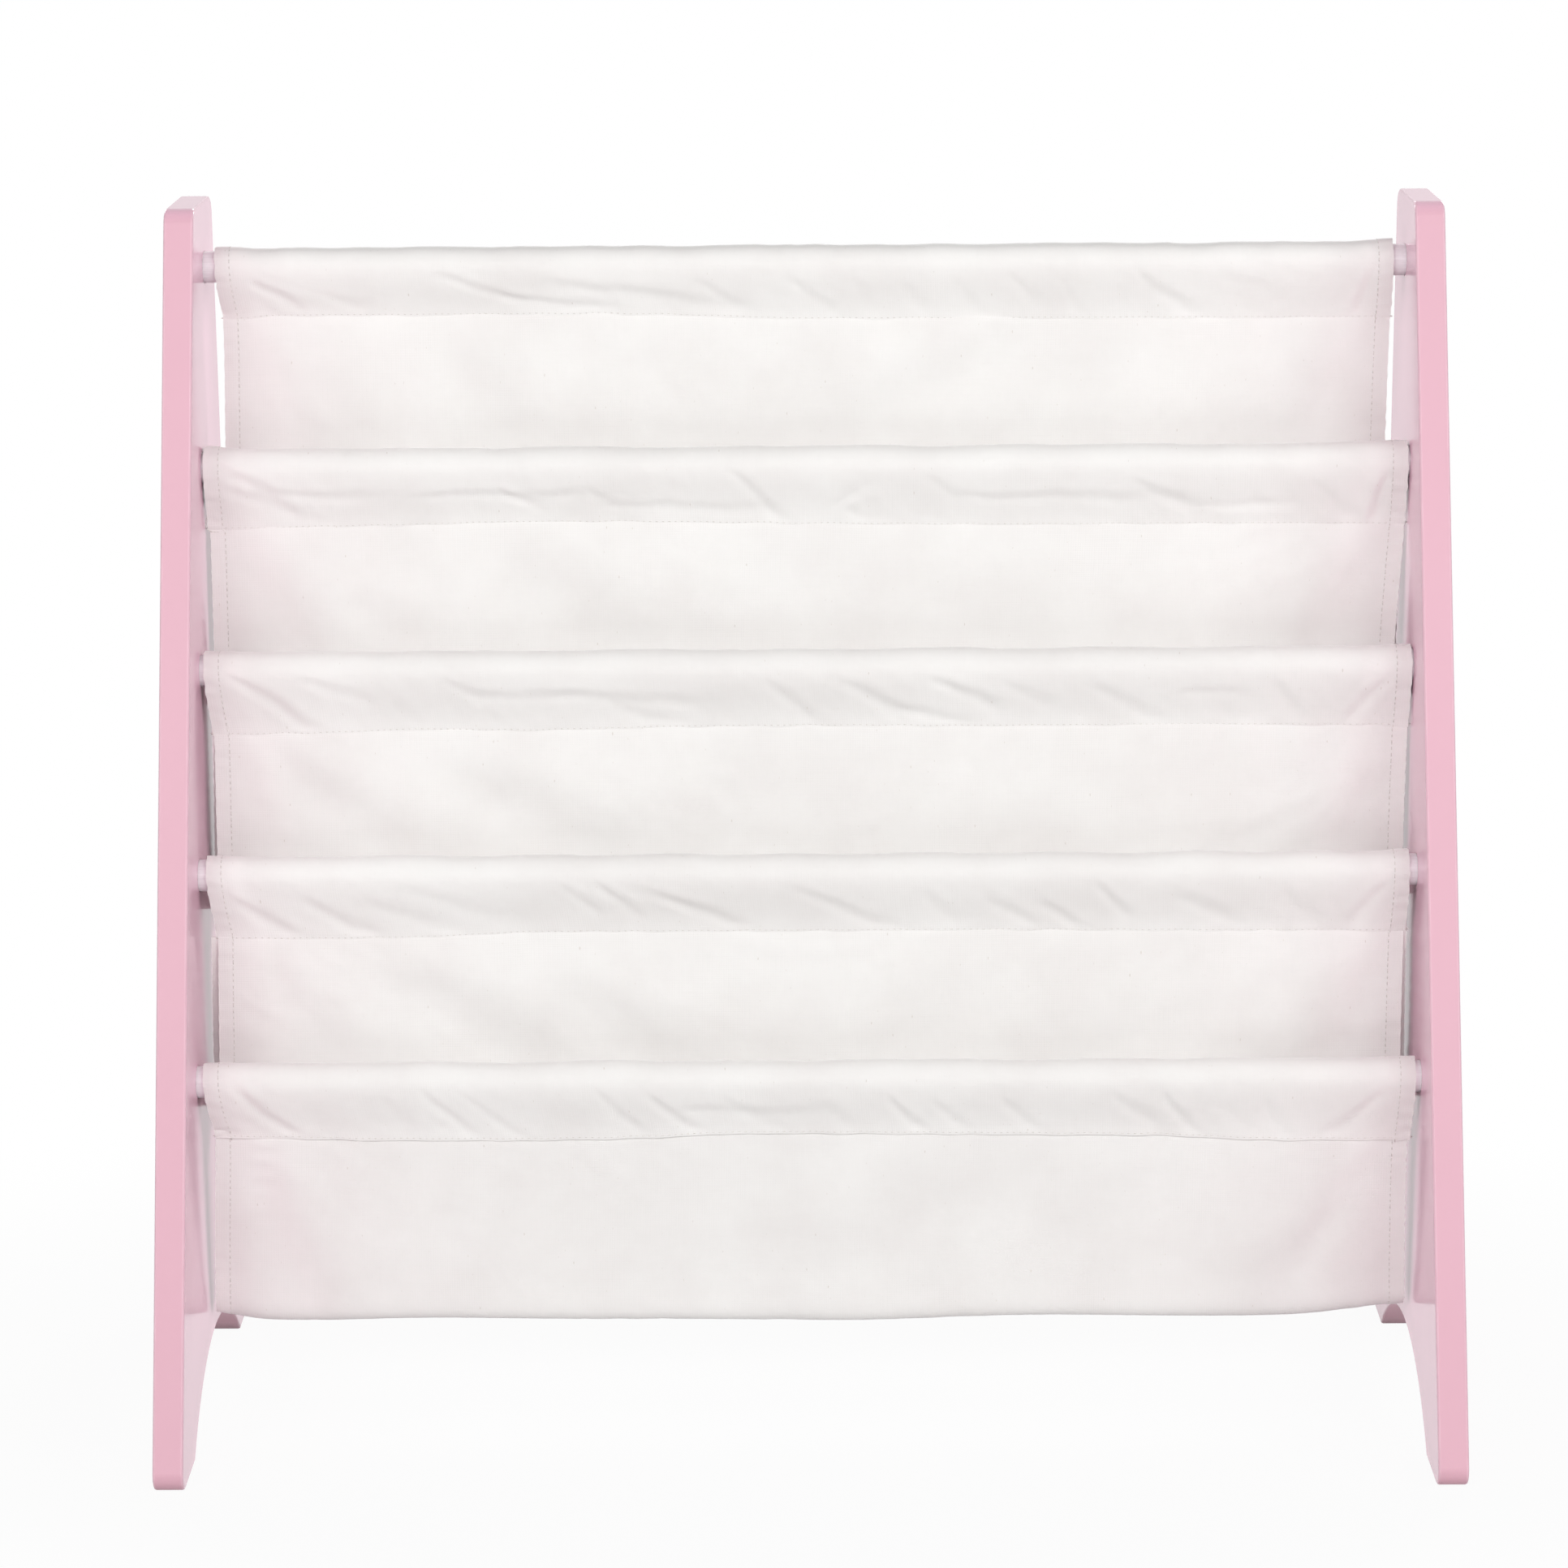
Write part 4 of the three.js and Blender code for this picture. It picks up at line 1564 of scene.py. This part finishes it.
        # Each sheet comes from its own place on the bolt, so no two show the same slubs.
        mesh = self._shell(f"{name}_cloth", outer, inner, x + seed % 100 * s.cut_width, along + seed / 100)
        piece = mesh_piece(f"{name}_cloth", mesh, self.canvas)
        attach(piece, ROOT)
        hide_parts(name)
        line = s.cut_width / 2 - s.hem_width + s.hem_stitch
        for face, way in ((outer, normal), (inner, -normal)):
            for target in (-line, line):
                column = int(np.argmin(np.abs(x_fine - target)))
                self.hem_lines.append((face + self.stitch_lift * way)[:, column])
        LOG.info("%s_cloth: %d triangles", name, 2 * len(mesh.polygons))

    def _crinkle(
        self, x: np.ndarray, along: np.ndarray, edge: np.ndarray, seed: int, sharp: bool
    ) -> np.ndarray:
        """Draws the fine lines that handling leaves in the cloth, stronger in some patches than in others.

        Args:
            x: places along the shelf.
            along: the way from the first seam.
            edge: the way from the nearer seam.
            seed: the seed of its waves.
            sharp: true for a casing.

        Returns:
            How far the cloth stands out, in metres.
        """
        # On a casing the fine lines lean one way. On a wall they run down from both hems to the middle.
        turned = x if sharp else np.hypot(x, self.crinkle_fan)
        crinkle = 0.8 * LEANING_CRINKLE.heights(seed, turned, edge)
        crinkle = crinkle + 0.5 * LOOSE_CRINKLE.heights(seed + 25, x, edge)
        patch = smooth_step(0.5 + 0.6 * CRINKLE_PATCHES.heights(seed + 50, x, along))
        return self.crinkled * crinkle * (0.35 + patch) * smooth_step(edge / self.crinkle_reach)

    def _thickness(self, from_end: np.ndarray, edge: np.ndarray, hem: np.ndarray) -> np.ndarray:
        """Gives the cloth's thickness, which is more in the hems and less in the seams.

        Args:
            from_end: the way in from the nearer side edge.
            edge: the way from the nearer seam.
            hem: 1 in the hems and 0 elsewhere.

        Returns:
            The thickness, in metres.
        """
        s = self.sizes
        thickness = s.thickness + s.hem_rise * hem
        # The stitches of the hem pull a shallow groove into it.
        groove = np.exp(-(((from_end - s.hem_width + s.hem_stitch) / self.groove_width) ** 2))
        thickness = thickness - self.groove_deep * groove
        # The seams press the edges thin.
        return thickness * (self.seam_thin + (1 - self.seam_thin) * smooth_step(edge / self.thin_reach))

    def _shell(
        self, name: str, outer: np.ndarray, inner: np.ndarray, x: np.ndarray, along: np.ndarray
    ) -> bpy.types.Mesh:
        """Closes two faces of cloth into one thin body.

        Args:
            name: the mesh's name.
            outer: the outer face's grid.
            inner: the inner face's grid.
            x: each point's place along the shelf on the flat cut.
            along: each point's place from seam to seam on the flat cut.

        Returns:
            The closed mesh.
        """
        rows, columns = outer.shape[:2]
        number = np.arange(rows * columns).reshape(rows, columns)
        a, b, c, d = number[:-1, :-1], number[:-1, 1:], number[1:, 1:], number[1:, :-1]
        front = np.stack([a, b, c, d], axis=-1).reshape(-1, 4)
        back = front[:, ::-1] + rows * columns
        loop = np.concatenate([number[0, :-1], number[:-1, -1], number[-1, :0:-1], number[:0:-1, 0]])
        after = np.roll(loop, -1)
        rim = np.stack([loop, loop + rows * columns, after + rows * columns, after], axis=-1)
        points = np.concatenate([outer.reshape(-1, 3), inner.reshape(-1, 3)])
        flat = np.stack([x, along], axis=-1).reshape(-1, 2)
        return quad_mesh(name, points, np.concatenate([front, back, rim]), np.concatenate([flat, flat]))

    def _mark_seam(self, cloth: Cloth) -> None:
        """Notes where the seam's stitches go, just above a casing's lower edges.

        Args:
            cloth: the settled casing.
        """
        normal = outward(cloth.points)
        share = self.sizes.seam_stitch / float(cloth.along[0, 0])
        for row, inside in ((0, 1), (-1, -2)):
            line = cloth.points[row] * (1 - share) + cloth.points[inside] * share
            self.seam_lines.append(line + normal[inside] * self.sizes.thickness * self.seam_stitch_lift)


# ---- The stitches

# The loose thread's way from the corner, in millimetres: to the right, away from the viewer, and up.
TAIL_WAY = (
    (3.2, -0.6, 6.0),
    (1.5, -1.2, 5.0),
    (0.9, -1.3, 2.5),
    (0.4, -1.4, 0.3),
    (0.8, -1.4, -1.6),
    (2.2, -1.3, -3.3),
    (4.4, -1.25, -3.7),
    (6.6, -1.1, -3.8),
    (8.0, -0.5, -3.9),
)


@dataclass
class Stitching:
    """The lines of stitches, laid along curves on the cloth by one node tree."""

    thread: bpy.types.Material
    pitch: float = 3.2 * MM
    length: float = 2.3 * MM
    width: float = 0.52 * MM
    tail_radius: float = 0.4
    tail_sides: int = 8

    def build(self, hems: list[np.ndarray], seams: list[np.ndarray]) -> None:
        """Sews the hems and the seams.

        Args:
            hems: the hems' lines.
            seams: the seams' lines.
        """
        self._sew("hem_stitches", hems)
        self._sew("seam_stitches", seams)

    def tail(self, name: str, corner: Vector) -> None:
        """Makes the loop of thread that sticks out at the left end of the second seam.

        Args:
            name: the piece's name.
            corner: where the seam's level meets the left panel.
        """
        middle = finer(finer(np.array(TAIL_WAY) * MM + np.array(corner)))
        run = np.gradient(middle, axis=0)
        run /= np.linalg.norm(run, axis=1, keepdims=True)
        side = np.cross(run, [0.0, 1.0, 0.0])
        side /= np.linalg.norm(side, axis=1, keepdims=True)
        other = np.cross(side, run)
        turn = np.linspace(0, 2 * math.pi, self.tail_sides, endpoint=False)[:, None]
        radius = self.width * self.tail_radius
        rings = [p + radius * (np.cos(turn) * a + np.sin(turn) * b) for p, a, b in zip(middle, side, other)]
        points = np.concatenate(rings)
        number = np.arange(len(points)).reshape(len(middle), self.tail_sides)
        after = np.roll(number, -1, axis=1)
        quads = np.stack([number[:-1], after[:-1], after[1:], number[1:]], axis=-1).reshape(-1, 4)
        faces = [*quads.tolist(), number[0, ::-1].tolist(), number[-1].tolist()]
        mesh = bpy.data.meshes.new(name)
        mesh.from_pydata(points.tolist(), [], faces)
        mesh.polygons.foreach_set("use_smooth", np.ones(len(mesh.polygons), bool))
        piece = mesh_piece(name, mesh, self.thread)
        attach(piece, ROOT)
        LOG.info("%s: %d faces", name, len(mesh.polygons))

    def _tree(self, name: str) -> bpy.types.NodeTree:
        """Builds the node tree that lays stitches along curves.

        Args:
            name: the tree's name.

        Returns:
            The tree.
        """
        tree = bpy.data.node_groups.new(name, "GeometryNodeTree")
        tree.interface.new_socket("Lines", in_out="INPUT", socket_type="NodeSocketGeometry")
        for label in ("Pitch", "Length", "Width"):
            tree.interface.new_socket(label, in_out="INPUT", socket_type="NodeSocketFloat")
        tree.interface.new_socket("Thread", in_out="INPUT", socket_type="NodeSocketMaterial")
        tree.interface.new_socket("Stitches", in_out="OUTPUT", socket_type="NodeSocketGeometry")
        given = add(tree, "NodeGroupInput").outputs
        curve = add(tree, "GeometryNodeMeshToCurve", {"Mesh": given["Lines"]})
        spacing = {"Curve": curve, "Length": given["Pitch"]}
        even = add(tree, "GeometryNodeResampleCurve", spacing, mode="LENGTH")
        along = add(tree, "GeometryNodeInputTangent")
        turn = add(tree, "FunctionNodeAlignRotationToVector", {"Vector": along}, axis="X")
        # No two stitches are quite alike: each varies a little in length, width and height.
        chance = {0: (0.85, 0.9, 0.9), 1: (1.1, 1.1, 1.1), "Seed": 3}
        uneven = add(tree, "FunctionNodeRandomValue", chance, data_type="FLOAT_VECTOR")
        bead = add(tree, "GeometryNodeMeshUVSphere", {"Segments": 6, "Rings": 4, "Radius": 0.5})
        size = add(tree, "ShaderNodeCombineXYZ", {0: given["Length"], 1: given["Width"], 2: given["Width"]})
        stitch = add(tree, "GeometryNodeTransform", {"Geometry": bead, "Scale": size})
        laying = {"Points": even, "Instance": stitch, "Rotation": turn, "Scale": uneven}
        laid = add(tree, "GeometryNodeInstanceOnPoints", laying)
        real = add(tree, "GeometryNodeRealizeInstances", {"Geometry": laid})
        soft = add(tree, "GeometryNodeSetShadeSmooth", {"Geometry": real})
        dyed = add(tree, "GeometryNodeSetMaterial", {"Geometry": soft, "Material": given["Thread"]})
        add(tree, "NodeGroupOutput", {0: dyed})
        return tree

    def _sew(self, name: str, lines: list[np.ndarray]) -> None:
        """Lays stitches along lines and puts them in the scene as one mesh.

        Args:
            name: the piece's name.
            lines: the lines to follow.
        """
        points, edges = [], []
        for line in lines:
            first = len(points)
            points.extend(line.tolist())
            edges.extend((first + k, first + k + 1) for k in range(len(line) - 1))
        guide_mesh = bpy.data.meshes.new(f"{name}_guide")
        guide_mesh.from_pydata(points, edges, [])
        guide = mesh_piece(f"{name}_guide", guide_mesh, None)
        tree = self._tree(f"{name}_tree")
        modifier = guide.modifiers.new("stitches", "NODES")
        modifier.node_group = tree
        values = {"Pitch": self.pitch, "Length": self.length, "Width": self.width, "Thread": self.thread}
        for item in tree.interface.items_tree:
            if item.item_type == "SOCKET" and item.in_out == "INPUT" and item.name in values:
                modifier[item.identifier] = values[item.name]
        graph = bpy.context.evaluated_depsgraph_get()
        mesh = bpy.data.meshes.new_from_object(guide.evaluated_get(graph))
        bpy.data.objects.remove(guide)
        mesh.name = name
        piece = mesh_piece(name, mesh, self.thread)
        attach(piece, ROOT)
        LOG.info("%s: %d faces", name, len(mesh.polygons))


# ---- The studio


@dataclass(frozen=True)
class Softbox:
    """One soft light that faces the shelf: its direction and its height in degrees, and its power in watts.

    The direction is 0 in front of the shelf and positive to the right.
    """

    name: str
    azimuth: float
    elevation: float
    power: float


# A bank of three softboxes stands in front, one more at each side, and three behind, which light the inner
# faces past the sling.
SOFTBOXES = (
    Softbox("front_softbox_left", -28.0, 26.0, 20.5),
    Softbox("front_softbox_middle", 0.0, 26.0, 21.5),
    Softbox("front_softbox_right", 28.0, 26.0, 20.0),
    Softbox("side_softbox_left", -55.0, 22.0, 11.0),
    Softbox("side_softbox_right", 55.0, 22.0, 16.0),
    Softbox("rear_softbox_left", -150.0, 20.0, 19.0),
    Softbox("rear_softbox_middle", 180.0, 30.0, 12.0),
    Softbox("rear_softbox_right", 150.0, 20.0, 35.0),
)


@dataclass
class Studio:
    """The white studio: the floor, the soft lights and the camera at the photograph's place."""

    floor_half: float = 30.0
    ambient: float = 0.12
    lamp_distance: float = 3.0
    lamp_size: tuple[float, float] = (1.0, 0.9)
    lamp_target: tuple[float, float, float] = (0.0, 0.0, 0.3)
    eye: tuple[float, float, float] = (0.0048, -2.1612, 0.8631)
    yaw: float = math.radians(0.427)
    pitch: float = math.radians(14.099)
    roll: float = math.radians(-0.415)
    lens: float = 102.48
    sensor: float = 36.0
    clip: tuple[float, float] = (0.05, 60.0)

    def build(self) -> None:
        """Sets up the floor, the light and the camera."""
        self._floor()
        self._world()
        for box in SOFTBOXES:
            self._softbox(box)
        self._camera()

    def _floor(self) -> None:
        """Lays the floor."""
        half = self.floor_half
        corners = [(-half, -half, 0), (half, -half, 0), (half, half, 0), (-half, half, 0)]
        mesh = bpy.data.meshes.new("studio_floor")
        mesh.from_pydata(corners, [], [(0, 1, 2, 3)])
        mesh_piece("studio_floor", mesh, StudioFloor().material())

    def _world(self) -> None:
        """Makes the world white where it is seen, and plain soft light elsewhere."""
        world = bpy.data.worlds.new("white_studio")
        bpy.context.scene.world = world
        world.use_nodes = True
        tree = world.node_tree
        tree.nodes.clear()
        light = {"Value": seen_ray(tree), "To Min": self.ambient, "To Max": 1.0}
        strength = add(tree, "ShaderNodeMapRange", light)
        sky = add(tree, "ShaderNodeBackground", {"Color": WHITE, "Strength": strength})
        add(tree, "ShaderNodeOutputWorld", {"Surface": sky})

    def _softbox(self, box: Softbox) -> None:
        """Hangs one soft light.

        Args:
            box: the light.
        """
        light = bpy.data.lights.new(box.name, "AREA")
        light.shape = "RECTANGLE"
        light.size, light.size_y = self.lamp_size
        light.energy = box.power
        lamp = bpy.data.objects.new(box.name, light)
        bpy.context.scene.collection.objects.link(lamp)
        turn, rise = math.radians(box.azimuth), math.radians(box.elevation)
        away = Vector((math.sin(turn) * math.cos(rise), -math.cos(turn) * math.cos(rise), math.sin(rise)))
        lamp.location = Vector(self.lamp_target) + away * self.lamp_distance
        lamp.rotation_euler = (-away).to_track_quat("-Z", "Y").to_euler()

    def _camera(self) -> None:
        """Puts the camera at the photograph's viewing angle."""
        sin, cos = math.sin, math.cos
        yaw, pitch = self.yaw, self.pitch
        level = Vector((cos(yaw), sin(yaw), 0.0))
        lift = Vector((-sin(pitch) * sin(yaw), sin(pitch) * cos(yaw), cos(pitch)))
        right = cos(self.roll) * level + sin(self.roll) * lift
        up = -sin(self.roll) * level + cos(self.roll) * lift
        ahead = Vector((-cos(pitch) * sin(yaw), cos(pitch) * cos(yaw), -sin(pitch)))
        data = bpy.data.cameras.new("camera")
        data.lens = self.lens
        data.sensor_width = self.sensor
        data.clip_start, data.clip_end = self.clip
        camera = bpy.data.objects.new("camera", data)
        bpy.context.scene.collection.objects.link(camera)
        turn = Matrix((right, up, -ahead)).transposed()
        camera.matrix_world = Matrix.Translation(self.eye) @ turn.to_4x4()
        bpy.context.scene.camera = camera


def rod_places(count: int) -> list[RodPlace]:
    """Reads the rods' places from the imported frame.

    Args:
        count: how many rods there are.

    Returns:
        The place of each rod's axis, from the top rod down.
    """
    places = []
    for number in range(1, count + 1):
        low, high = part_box(f"rod_{number}")
        places.append(RodPlace((low.y + high.y) / 2, (low.z + high.z) / 2))
    return places


def main() -> None:
    """Builds the bookshelf and its studio."""
    logging.basicConfig(level=logging.INFO, format="%(message)s")
    bpy.context.scene.view_settings.view_transform = "Standard"
    carpentry = Carpentry(PaintedBoard().material(), PaintedDowel().material(), ZincPlate().material())
    carpentry.build()
    sling = Sling(
        CottonCanvas().material(),
        SewingThread().material(),
        inner_left=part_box("side_panel_left")[1].x,
        inner_right=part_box("side_panel_right")[0].x,
        rods=rod_places(carpentry.rod_count),
    )
    sling.build()
    Studio().build()


if __name__ == "__main__":
    main()
